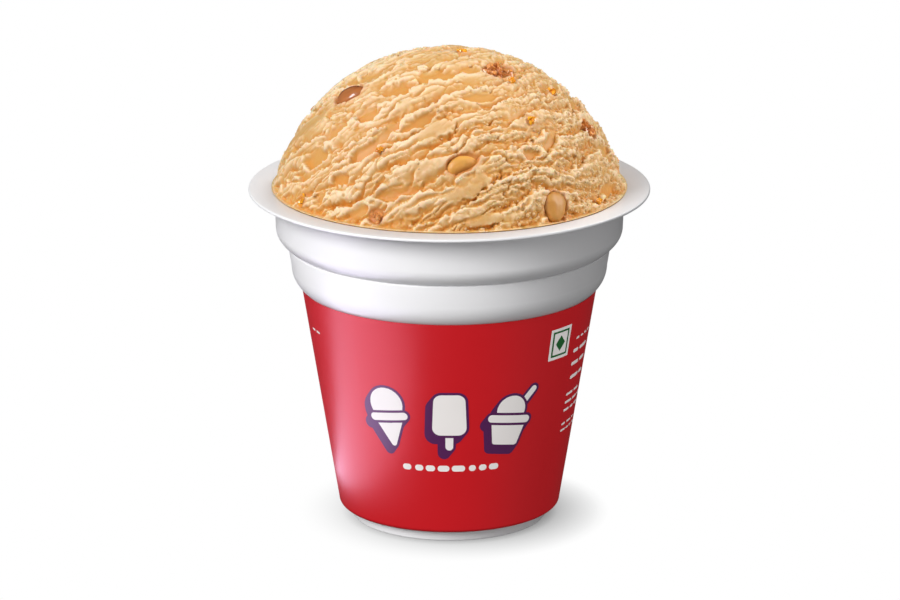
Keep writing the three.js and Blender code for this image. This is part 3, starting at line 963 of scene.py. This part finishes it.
def makeIcePaint(name, glow):
    # glow: how much light spreads inside, none in grains that are too small for it
    paint, tree, shader = newMaterial(
        name, Roughness=0.5, Subsurface_Weight=glow, Subsurface_Radius=(1.0, 0.5, 0.25),
        Subsurface_Scale=0.0006, IOR=1.36, Coat_Weight=0.08, Coat_Roughness=0.3)
    masks = {
        name: addNode(tree, "ShaderNodeAttribute", attribute_name=name).outputs["Fac"]
        for name in ("cavity", "crumbly", "stain")
    }
    ramp = addNode(tree, "ShaderNodeValToRGB")
    lift = maths(tree, "ADD", maths(tree, "MULTIPLY", masks["cavity"], 0.5), 0.5)
    tree.links.new(lift, ramp.inputs[0])
    # from the lips to the bottom of the hollows: the pale lip tone is painted highlight and the deeper
    # orange of the hollows is painted shade
    litToShadedTones = [(0.0, (0.88, 0.67, 0.42)), (0.42, (0.67, 0.395, 0.148)), (0.62, (0.65, 0.33, 0.086)),
             (1.0, (0.66, 0.28, 0.046))]
    ramp.color_ramp.elements.remove(ramp.color_ramp.elements[1])
    for n, (place, colour) in enumerate(litToShadedTones):
        element = ramp.color_ramp.elements[0] if n == 0 else ramp.color_ramp.elements.new(place)
        element.position = place
        element.color = (*colour, 1)
    mottle = useGroup(tree, mottleGroup, Colour=(0.95, 0.92, 0.88), Other=(1, 1, 1), Scale=160.0)
    mix = addNode(tree, "ShaderNodeMix", data_type="RGBA", blend_type="MULTIPLY")
    mix.inputs[0].default_value = 1.0
    tree.links.new(ramp.outputs[0], mix.inputs[6])
    tree.links.new(mottle.outputs["Colour"], mix.inputs[7])
    stained = addNode(tree, "ShaderNodeMix", data_type="RGBA")
    tree.links.new(maths(tree, "MULTIPLY", masks["stain"], 0.75), stained.inputs[0])
    tree.links.new(mix.outputs[2], stained.inputs[6])
    stained.inputs[7].default_value = (0.55, 0.20, 0.05, 1)
    tree.links.new(stained.outputs[2], shader.inputs["Base Color"])
    strength = maths(tree, "ADD", maths(tree, "MULTIPLY", masks["crumbly"], 0.15), 0.15)
    grain = useGroup(tree, grainGroup, Scale=1900.0, Strength=strength, Depth=0.0003)
    tree.links.new(grain.outputs["Normal"], shader.inputs["Normal"])
    return paint


icePaint = makeIcePaint("caramelIceCream", 0.5)
icePiece = makeIceCream(icePaint)
finishPiece(icePiece, "ice_cream", "ice_cream")
print("ice cream made", len(icePiece.data.polygons))


# Loose grains of ice cream lie on the crumbly parts. Their sizes are in metres.
grains = {"perArea": 0.9e6, "radius": (0.00022, 0.00044), "sunk": 0.45, "seed": 6}


def randomValue(tree, low, high, seed, kind="FLOAT"):
    # in a Random Value node the vector sockets come first, then the float ones
    first = 0 if kind == "FLOAT_VECTOR" else 2
    node = addNode(tree, "FunctionNodeRandomValue", data_type=kind)
    for slot, value in ((first, low), (first + 1, high)):
        node.inputs[slot].default_value = value
    node.inputs["Seed"].default_value = seed
    return node.outputs[0 if kind == "FLOAT_VECTOR" else 1]


def makeGrainTree(paint):
    # small stones scattered over a surface where its attribute is high
    tree = newTree("scatterGrains", [
        ("Density", "Float", 1e6), ("Smallest", "Float", 0.0002), ("Largest", "Float", 0.0004),
        ("Sunk", "Float", 0.4), ("Seed", "Int", 0)])
    first, _ = ends(tree)
    mask = addNode(tree, "GeometryNodeInputNamedAttribute", [("Name", "crumbly")], data_type="FLOAT")
    density = maths(tree, "MULTIPLY", maths(tree, "POWER", mask.outputs[0], 1.6), first.outputs["Density"])
    spots = addNode(tree, "GeometryNodeDistributePointsOnFaces", [
        ("Mesh", first.outputs["Geometry"]), ("Density", density), ("Seed", first.outputs["Seed"])])
    share = randomValue(tree, 0.0, 1.0, 3)
    span = maths(tree, "SUBTRACT", first.outputs["Largest"], first.outputs["Smallest"])
    grown = maths(tree, "MULTIPLY", maths(tree, "POWER", share, 2.0), span)
    radius = maths(tree, "ADD", grown, first.outputs["Smallest"])
    down = maths(tree, "MULTIPLY", maths(tree, "MULTIPLY", radius, first.outputs["Sunk"]), -1.0)
    offset = addNode(tree, "ShaderNodeVectorMath", [(0, spots.outputs["Normal"])], operation="SCALE")
    tree.links.new(down, offset.inputs["Scale"])
    sunk = addNode(tree, "GeometryNodeSetPosition", [
        ("Geometry", spots.outputs[0]), ("Offset", offset.outputs[0])])
    ball = addNode(tree, "GeometryNodeMeshIcoSphere", [("Radius", 1.0), ("Subdivisions", 1)])
    stretch = randomValue(tree, (0.75, 0.75, 0.6), (1.25, 1.25, 1.1), 5, "FLOAT_VECTOR")
    size = addNode(tree, "ShaderNodeVectorMath", [(0, stretch)], operation="SCALE")
    tree.links.new(radius, size.inputs["Scale"])
    turn = randomValue(tree, (0.0, 0.0, 0.0), (6.28, 6.28, 6.28), 8, "FLOAT_VECTOR")
    stones = addNode(tree, "GeometryNodeInstanceOnPoints", [
        ("Points", sunk.outputs[0]), ("Instance", ball.outputs[0]), ("Scale", size.outputs[0]),
        ("Rotation", turn)])
    # the grains count as lips, so the ice paint gives them the pale lip tone, a painted highlight
    marked = addNode(tree, "GeometryNodeStoreNamedAttribute", [
        ("Geometry", stones.outputs[0]), ("Name", "cavity"), ("Value", -0.45)],
        data_type="FLOAT", domain="INSTANCE")
    endTree(tree, marked.outputs[0], paint)
    return tree


def scatteredGrains(surface, paint):
    piece = addPiece("ice_grains", surface.data.copy())
    smallest, largest = grains["radius"]
    runTree(piece, makeGrainTree(paint), {
        "Density": grains["perArea"], "Smallest": smallest, "Largest": largest,
        "Sunk": grains["sunk"], "Seed": grains["seed"]})
    smoothShade(piece)
    return piece


grainPiece = scatteredGrains(icePiece, makeIcePaint("iceCreamGrains", 0.0))
finishPiece(grainPiece, "ice_cream")
print("grains scattered", len(grainPiece.data.polygons))


# Nuts: uneven kernels in their sockets.
# lean: raises the upper side; bend: curves the ends; flat: planes the top off; darkFrom and
# darkTo: places along the width between which the dark colour starts, from -1 to 1. It is dark
# skin on most kernels; on nut_front the dark lower side, turned from the light, is painted shade.
kernels = {
    "nut_left": {"slot": "roasted_nut", "square": 2.2, "lean": 0.10, "bend": 0.25, "flat": 0.95,
                 "crease": 0.0, "darkFrom": -0.2, "darkTo": 0.9, "taper": 0.18},
    # its darker lower side, turned away from the light, is painted shade
    "nut_front": {"slot": "pale_nut", "square": 2.0, "lean": 0.5, "bend": -0.5, "flat": 0.9,
                  "crease": 0.0, "darkFrom": -0.05, "darkTo": -0.8, "taper": 0.1},
    "nut_right": {"slot": "pale_nut", "square": 2.2, "lean": 0.1, "bend": 0.0, "flat": 0.97,
                  "crease": 0.03, "darkFrom": 0.55, "darkTo": 0.95, "taper": -0.3, "shade": 0.55},
    "nut_back": {"slot": "pale_nut", "square": 2.3, "lean": 0.2, "bend": -0.3, "flat": 0.9,
                 "crease": 0.12, "darkFrom": -0.2, "darkTo": -0.9, "taper": 0.1},
    "nut_back_low": {"slot": "roasted_nut", "square": 2.2, "lean": 0.1, "bend": 0.2, "flat": 0.9,
                     "crease": 0.0, "darkFrom": -0.1, "darkTo": 0.8, "taper": 0.15},
}
kernelMesh = {"rings": 40, "around": 64, "swell": 0.16, "fine": 0.06}


def nodeCentre(name):
    low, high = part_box(name)
    return np.array((low + high) / 2) / mm


def kernelPiece(name, paint):
    spec, shape = inclusions[name], kernels[name]
    rings, around = kernelMesh["rings"], kernelMesh["around"]
    v = np.linspace(0, np.pi, rings + 1)[1:-1]
    u = np.linspace(0, 2 * np.pi, around, endpoint=False)
    uu, vv = np.meshgrid(u, v, indexing="ij")
    unit = np.stack([np.cos(vv), np.sin(vv) * np.cos(uu), np.sin(vv) * np.sin(uu)], -1).reshape(-1, 3)
    unit = np.concatenate([unit, [[1.0, 0, 0], [-1.0, 0, 0]]])
    unit = np.sign(unit) * np.abs(unit) ** (2 / shape["square"])
    seed = 3 * len(name)
    swell = 1 + mixedNoise(unit, [(0.9, kernelMesh["swell"]), (0.3, kernelMesh["fine"])], seed)
    crease = shape["crease"] * np.exp(-(unit[:, 1] / 0.16) ** 2) * np.clip(unit[:, 2], 0, 1)
    form = unit * (swell - crease)[:, None]
    x = form[:, 0]
    y = form[:, 1] * (1 - shape["taper"] * x) + shape["bend"] * (x * x - 0.4) * 0.5
    z = np.minimum(form[:, 2], shape["flat"]) + shape["lean"] * np.clip(y, -1, 1) * 0.6
    local = np.stack([x, y, z], -1) * np.array(spec["size"]) / 2
    # kept inside the node's own room, along each axis
    for axis, size in enumerate(spec["size"]):
        low, high = local[:, axis].min(), local[:, axis].max()
        local[:, axis] = (local[:, axis] - (low + high) / 2) * size / (high - low)
    points = nodeCentre(name) + local @ np.stack(inclusionAxes(spec))
    index = np.arange(around * (rings - 1)).reshape(around, rings - 1)
    after = np.roll(index, -1, axis=0)
    faces = list(np.stack([index[:, :-1], index[:, 1:], after[:, 1:], after[:, :-1]], -1).reshape(-1, 4))
    first, last = len(unit) - 2, len(unit) - 1
    faces += [(a, b, first) for a, b in zip(index[:, 0], after[:, 0])]
    faces += [(b, a, last) for a, b in zip(index[:, -1], after[:, -1])]
    piece = newPiece(name + "_kernel", points, faces)
    faceOutwards(piece)
    # the darker side: dark skin, except on nut_front, where it is painted shade on the side away from the
    # light
    dark = smoothstep(unit[:, 1] + mixedNoise(unit, [(0.7, 0.5), (0.25, 0.3)], seed + 5),
                      shape["darkFrom"], shape["darkTo"])
    dark = np.maximum(dark, shape.get("shade", 0))
    layer = piece.data.attributes.new("dark", "FLOAT", "POINT")
    layer.data.foreach_set("value", dark.astype(np.float32))
    piece.data.materials.append(paint)
    return piece


def twoTonePaint(name, mottle, darkColour, grain, **values):
    # a mottled paint that turns into another colour where the piece's attribute says so
    paint = mottledMaterial(name, mottle, grain, **values)
    tree = paint.node_tree
    shader = tree.nodes["Principled BSDF"]
    colour = shader.inputs["Base Color"].links[0].from_socket
    dark = addNode(tree, "ShaderNodeAttribute", attribute_name="dark")
    mix = addNode(tree, "ShaderNodeMix", data_type="RGBA")
    tree.links.new(dark.outputs["Fac"], mix.inputs[0])
    tree.links.new(colour, mix.inputs[6])
    mix.inputs[7].default_value = (*darkColour, 1)
    tree.links.new(mix.outputs[2], shader.inputs["Base Color"])
    return paint


paleNutPaint = twoTonePaint(
    "paleKernel", ((0.78, 0.40, 0.08), (0.66, 0.30, 0.05), 260.0),
    (0.36, 0.14, 0.02), (1200.0, 0.3, 0.0002),
    Roughness=0.5, Subsurface_Weight=0.2, Subsurface_Radius=(1.0, 0.45, 0.15), Subsurface_Scale=0.0004,
    Coat_Weight=0.06, Coat_Roughness=0.25)
roastedNutPaint = twoTonePaint(
    "roastedSkin", ((0.52, 0.185, 0.05), (0.38, 0.11, 0.025), 260.0),
    (0.17, 0.04, 0.010), (1400.0, 0.3, 0.0002),
    Roughness=0.26, Subsurface_Weight=0.1, Subsurface_Radius=(1.0, 0.4, 0.2), Subsurface_Scale=0.0006,
    Coat_Weight=0.7, Coat_Roughness=0.1)
crunchPaint = twoTonePaint(
    "brownCaramel", ((0.85, 0.42, 0.14), (0.74, 0.29, 0.07), 700.0),
    (0.52, 0.16, 0.035), (1800.0, 0.3, 0.0002),
    Roughness=0.2, Subsurface_Weight=0.2, Subsurface_Radius=(1.0, 0.45, 0.1), Subsurface_Scale=0.0002,
    Coat_Weight=0.8, Coat_Roughness=0.08)
amberPaint = twoTonePaint(
    "amberCaramel", ((0.95, 0.48, 0.035), (0.88, 0.36, 0.02), 600.0),
    (0.75, 0.24, 0.015), (1800.0, 0.2, 0.0002),
    Roughness=0.14, Subsurface_Weight=0.3, Subsurface_Radius=(1.0, 0.5, 0.1), Subsurface_Scale=0.0002,
    Coat_Weight=0.8, Coat_Roughness=0.06)

nutPaints = {"pale_nut": paleNutPaint, "roasted_nut": roastedNutPaint}
for name, spec in kernels.items():
    finishPiece(kernelPiece(name, nutPaints[spec["slot"]]), spec["slot"], name)

# Caramel: clusters of broken shards. count: how many, and their sizes in millimetres
clusters = {
    "crunch_top": {"count": 60, "shard": (0.8, 1.7)},
    "crunch_right": {"count": 24, "shard": (0.8, 1.6)},
    "crunch_low": {"count": 16, "shard": (0.7, 1.4)},
}
shards = {"corners": 9, "bevel": 0.05, "spread": 0.95, "crumbCount": 9, "crumbShard": (0.8, 1.4),
          "crumbSpread": 0.75, "crumbSunk": 0.02, "clusterSunk": 0.3, "top": 89.75}


def addShards(work, dark, centre, axes, size, spread, count, limits, random):
    # count broken bits in an ellipsoid of a size; dark: the layer for their shade
    for _ in range(count):
        way = random.normal(size=3)
        way *= random.uniform(0, 1) ** 0.4 / np.linalg.norm(way)
        middle = way * np.array(size) / 2 * spread
        corners = random.normal(size=(shards["corners"], 3))
        corners /= np.linalg.norm(corners, axis=1, keepdims=True)
        stretch = random.uniform(0.65, 1.2, size=3) * random.uniform(*limits) / 2
        places = np.array(centre) + (middle + corners * stretch) @ np.stack(axes)
        places[:, 2] -= max(places[:, 2].max() - shards["top"], 0)
        hull = bmesh.ops.convex_hull(work, input=[work.verts.new(p * mm) for p in places])
        inside = [v for v in hull["geom_interior"] if isinstance(v, bmesh.types.BMVert)]
        bmesh.ops.delete(work, geom=inside, context="VERTS")
        shade = random.uniform(0, 1) ** 1.6
        for face in hull["geom"]:
            if isinstance(face, bmesh.types.BMFace):
                for vertex in face.verts:
                    vertex[dark] = shade


def finishShards(name, work, paint):
    bmesh.ops.bevel(work, geom=work.edges[:], offset=shards["bevel"] * mm, segments=1,
                    affect="EDGES", profile=0.5, clamp_overlap=True)
    bmesh.ops.recalc_face_normals(work, faces=work.faces)
    piece = meshPiece(name, work)
    piece.data.materials.append(paint)
    return piece


random = np.random.default_rng(4)
for name, spec in clusters.items():
    work = bmesh.new()
    dark = work.verts.layers.float.new("dark")
    size = inclusions[name]["size"]
    axes = inclusionAxes(inclusions[name])
    centre = surfacePoint(*inclusions[name]["at"]) - axes[2] * shards["clusterSunk"] * size[2]
    addShards(work, dark, centre, axes, size, shards["spread"], spec["count"], spec["shard"], random)
    finishPiece(finishShards(name + "_shards", work, crunchPaint), "caramel_crunch", name)

work = bmesh.new()
dark = work.verts.layers.float.new("dark")
for bearing, height, size in crumbs:
    axes = inclusionAxes({"at": (bearing, height), "turn": 40 * size})
    centre = surfacePoint(bearing, height) - axes[2] * shards["crumbSunk"] * size
    room = (size, 0.8 * size, 0.45 * size)
    addShards(work, dark, centre, axes, room, shards["crumbSpread"], shards["crumbCount"],
              shards["crumbShard"], random)
finishPiece(finishShards("amber_crumbs", work, amberPaint), "caramel_crunch")
print("nuts and caramel made")


# Print on the film: flat shapes in millimetres, u along the wall from the front and v up the
# axis, bent onto the film. Each shape is the hull of circles round its corner points.
marks = {
    "edge": 0.5,  # purple edge round a cream part
    "shadow": (-1.0, -1.3),  # where the purple shadow of a part falls
    "lift": 0.012, "layer": 0.006,  # the lowest plate above the film, and each next one above it
    "thickness": 0.05, "cut": 0.6, "wrapRadius": 24.4, "height": 25.6,
}
# Parts of the small pictures: corner points about the picture's middle, and their roundness
pictures = {
    "cone": [([(-2.5, -0.2), (2.5, -0.2), (0, -5.4)], 0.55), ([(0, 2.4)], 3.3),
             ([(-3.1, -0.1), (3.1, -0.1)], 0.75)],
    "lolly": [([(0, -3.4), (0, -5.4)], 0.75), ([(-1.7, -1.6), (1.7, -1.6), (-1.4, 3.6), (1.4, 3.6)], 1.5)],
    "tub": [([(1.6, 2.0), (3.9, 5.4)], 0.6), ([(0, 1.2)], 2.9),
            ([(-3.1, -0.8), (3.1, -0.8), (2.1, -5.2), (-2.1, -5.2)], 0.55),
            ([(-3.6, -0.6), (3.6, -0.6)], 0.75)],
}
# Which picture goes where: u of its middle and its turn in degrees
placedPictures = [
    ("cone", -11.6, 8), ("lolly", 0.0, 0), ("tub", 11.6, -8),
    ("cone", 65.0, 8), ("lolly", 76.6, 0), ("tub", 88.2, -8),
]
# Rows of short bars: first and last bearing, height, thickness, shortest and longest bar
barRows = [
    (-22, 22, 15.7, 1.2, 1.4, 2.8), (158, 202, 15.7, 1.2, 1.4, 2.8),
    (-73, -66, 38.4, 0.4, 0.8, 1.6),
    (63, 76, 37.7, 0.45, 1.0, 2.4), (62, 76, 35.2, 0.7, 1.6, 4.0), (62, 77, 32.6, 0.7, 1.6, 4.0),
    (63, 74, 29.8, 0.7, 1.6, 4.0), (62, 78, 26.5, 0.5, 1.2, 3.0), (62, 78, 24.9, 0.5, 1.2, 3.0),
    (62, 75, 23.3, 0.5, 1.2, 3.0), (62, 78, 20.5, 0.4, 1.0, 2.6), (62, 78, 19.2, 0.4, 1.0, 2.6),
    (104, 136, 37.7, 0.5, 1.2, 3.0), (104, 136, 35.9, 0.5, 1.2, 3.0), (104, 130, 34.1, 0.5, 1.2, 3.0),
    (106, 134, 28.5, 0.5, 1.2, 3.0), (106, 134, 26.7, 0.5, 1.2, 3.0), (106, 126, 24.9, 0.5, 1.2, 3.0),
    (-136, -104, 37.7, 0.5, 1.2, 3.0), (-136, -104, 35.9, 0.5, 1.2, 3.0), (-130, -104, 34.1, 0.5, 1.2, 3.0),
]
barGap = (0.4, 0.8)
badge = {"bearing": 50.6, "height": 38.2, "size": (5.2, 6.0), "frame": 0.4, "diamond": (2.2, 2.8)}


def chain(points):
    # one side of a convex outline, from its first point to its last
    row = []
    for x, y in points:
        while len(row) > 1:
            (ax, ay), (bx, by) = row[-2:]
            if (bx - ax) * (y - ay) - (by - ay) * (x - ax) > 0:
                break
            row.pop()
        row.append((x, y))
    return np.array(row)


def addPlate(plates, circles, lift):
    # the hull of circles (u, v, radius) as strips across u, so that it bends with the wall
    turns = np.linspace(0, 2 * np.pi, 28, endpoint=False)
    points = sorted({
        (round(u + r * math.cos(a), 5), round(v + r * math.sin(a), 5)) for u, v, r in circles for a in turns
    })
    low, high = chain(points), chain(points[::-1])[::-1]
    first, last = (math.ceil(low[n, 0] / marks["cut"]) for n in (0, -1))
    cuts = np.arange(first, last) * marks["cut"]
    us = np.unique(np.concatenate([low[:, 0], high[:, 0], cuts]))
    rows = [np.interp(us, side[:, 0], side[:, 1]) for side in (low, high)]
    start = sum(len(p) for p in plates["points"])
    count = len(us)
    for height in (lift, lift - marks["thickness"]):
        for row in rows:
            plates["points"].append(np.stack([us, row, np.full(count, height)], -1))
    topLow, topHigh, baseLow, baseHigh = start + np.arange(4 * count).reshape(4, count)
    for a, b in ((topLow, topHigh), (baseHigh, baseLow), (baseLow, topLow), (topHigh, baseHigh)):
        plates["faces"] += list(np.stack([a[:-1], a[1:], b[1:], b[:-1]], -1))


def makeWrapTree(paint):
    # flat points (u, v, lift) bent onto the cone of the film
    tree = newTree("wrapOnFilm", [
        ("Bottom Radius", "Float", 0.02), ("Bottom", "Float", 0.0), ("Slope", "Float", 0.1),
        ("Wrap Radius", "Float", 0.024), ("Weld", "Float", 1e-7)])
    first, _ = ends(tree)
    position = addNode(tree, "GeometryNodeInputPosition").outputs[0]
    split = addNode(tree, "ShaderNodeSeparateXYZ", [(0, position)])
    up = maths(tree, "SUBTRACT", split.outputs[1], first.outputs["Bottom"])
    widening = maths(tree, "MULTIPLY", up, first.outputs["Slope"])
    cone = maths(tree, "ADD", widening, first.outputs["Bottom Radius"])
    radius = maths(tree, "ADD", cone, split.outputs[2])
    turn = maths(tree, "DIVIDE", split.outputs[0], first.outputs["Wrap Radius"])
    place = addNode(tree, "ShaderNodeCombineXYZ", [
        (0, maths(tree, "MULTIPLY", radius, maths(tree, "SINE", turn))),
        (1, maths(tree, "MULTIPLY", maths(tree, "MULTIPLY", radius, maths(tree, "COSINE", turn)), -1.0)),
        (2, split.outputs[1])])
    moved = addNode(tree, "GeometryNodeSetPosition", [
        ("Geometry", first.outputs["Geometry"]), ("Position", place.outputs[0])])
    welded = addNode(tree, "GeometryNodeMergeByDistance", [
        ("Geometry", moved.outputs[0]), ("Distance", first.outputs["Weld"])])
    endTree(tree, welded.outputs[0], paint)
    return tree


def drawPictures(cream, purple):
    for name, middle, degrees in placedPictures:
        turn = math.radians(degrees)
        parts = []
        for corners, radius in pictures[name]:
            spun = [(x * math.cos(turn) - y * math.sin(turn), x * math.sin(turn) + y * math.cos(turn))
                    for x, y in corners]
            parts.append([(middle + x, marks["height"] + y, radius) for x, y in spun])
        lift = marks["lift"]
        su, sv = marks["shadow"]
        for part in parts:
            grown = [(u, v, r + marks["edge"]) for u, v, r in part]
            addPlate(purple, grown + [(u + su, v + sv, r) for u, v, r in grown], lift)
            lift += marks["layer"] / 3
        for part in parts:
            addPlate(purple, [(u, v, r + marks["edge"]) for u, v, r in part], lift + marks["layer"])
            addPlate(cream, part, lift + 2 * marks["layer"])
            lift += 2 * marks["layer"]


def drawBars(cream):
    random = np.random.default_rng(12)
    for first, last, height, thickness, shortest, longest in barRows:
        u, end = (math.radians(b) * marks["wrapRadius"] for b in (first, last))
        half = thickness / 2
        while u < end:
            length = random.uniform(shortest, longest)
            addPlate(cream, [(u + half, height, half), (u + length - half, height, half)], marks["lift"])
            u += length + random.uniform(*barGap)


def drawBadge(cream, green):
    u = math.radians(badge["bearing"]) * marks["wrapRadius"]
    v = badge["height"]
    width, height = (s / 2 for s in badge["size"])
    wide, tall = (s / 2 for s in badge["diamond"])
    edge = badge["frame"]
    lift = marks["lift"]
    plates = [
        (cream, width, height), (green, width - 1.4 * edge, height - 1.4 * edge),
        (cream, width - 2.4 * edge, height - 2.4 * edge),
    ]
    for plate, w, h in plates:
        addPlate(plate, [(u + x, v + y, 0.1) for x in (-w, w) for y in (-h, h)], lift)
        lift += marks["layer"]
    addPlate(green, [(u - wide, v, 0.1), (u + wide, v, 0.1), (u, v - tall, 0.1), (u, v + tall, 0.1)], lift)


def plainInk(name, colour):
    return mottledMaterial(
        name, (colour, tuple(0.94 * c for c in colour), 50.0), (1400.0, 0.04, 0.0002),
        Roughness=0.4, Specular_IOR_Level=0.35, Coat_Weight=0.05, Coat_Roughness=0.25)


inks = {"cream": (0.86, 0.82, 0.80), "purple": (0.085, 0.014, 0.085), "green": (0.012, 0.12, 0.025)}
sheets = {name: {"points": [], "faces": []} for name in inks}
drawPictures(sheets["cream"], sheets["purple"])
drawBars(sheets["cream"])
drawBadge(sheets["cream"], sheets["green"])
filmTop = edgeHeightAt(cup["lowerBand"], cup["bodyTop"]) - film["topGap"]
printPieces = []
for name, plates in sheets.items():
    piece = newPiece("print_" + name, np.concatenate(plates["points"]), plates["faces"])
    runTree(piece, makeWrapTree(plainInk(name + "Ink", inks[name])), {
        "Bottom Radius": cup["bodyBottom"] * mm, "Bottom": cup["bottomHeight"] * mm,
        "Slope": (cup["bodyTop"] - cup["bodyBottom"]) / (filmTop - cup["bottomHeight"]),
        "Wrap Radius": marks["wrapRadius"] * mm, "Weld": 1e-7})
    faceOutwards(piece)
    smoothShade(piece, False)
    finishPiece(piece, "sleeve_print")
    printPieces.append(piece)
print("print made")

printedFilm = [filmPiece, *printPieces]
wall = [cupPiece, *printedFilm]
makeLamps({
    "wall": wall, "cup": [cupPiece], "film": printedFilm,
    "ice cream": [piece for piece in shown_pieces() if piece not in wall],
})
print("lamps made")
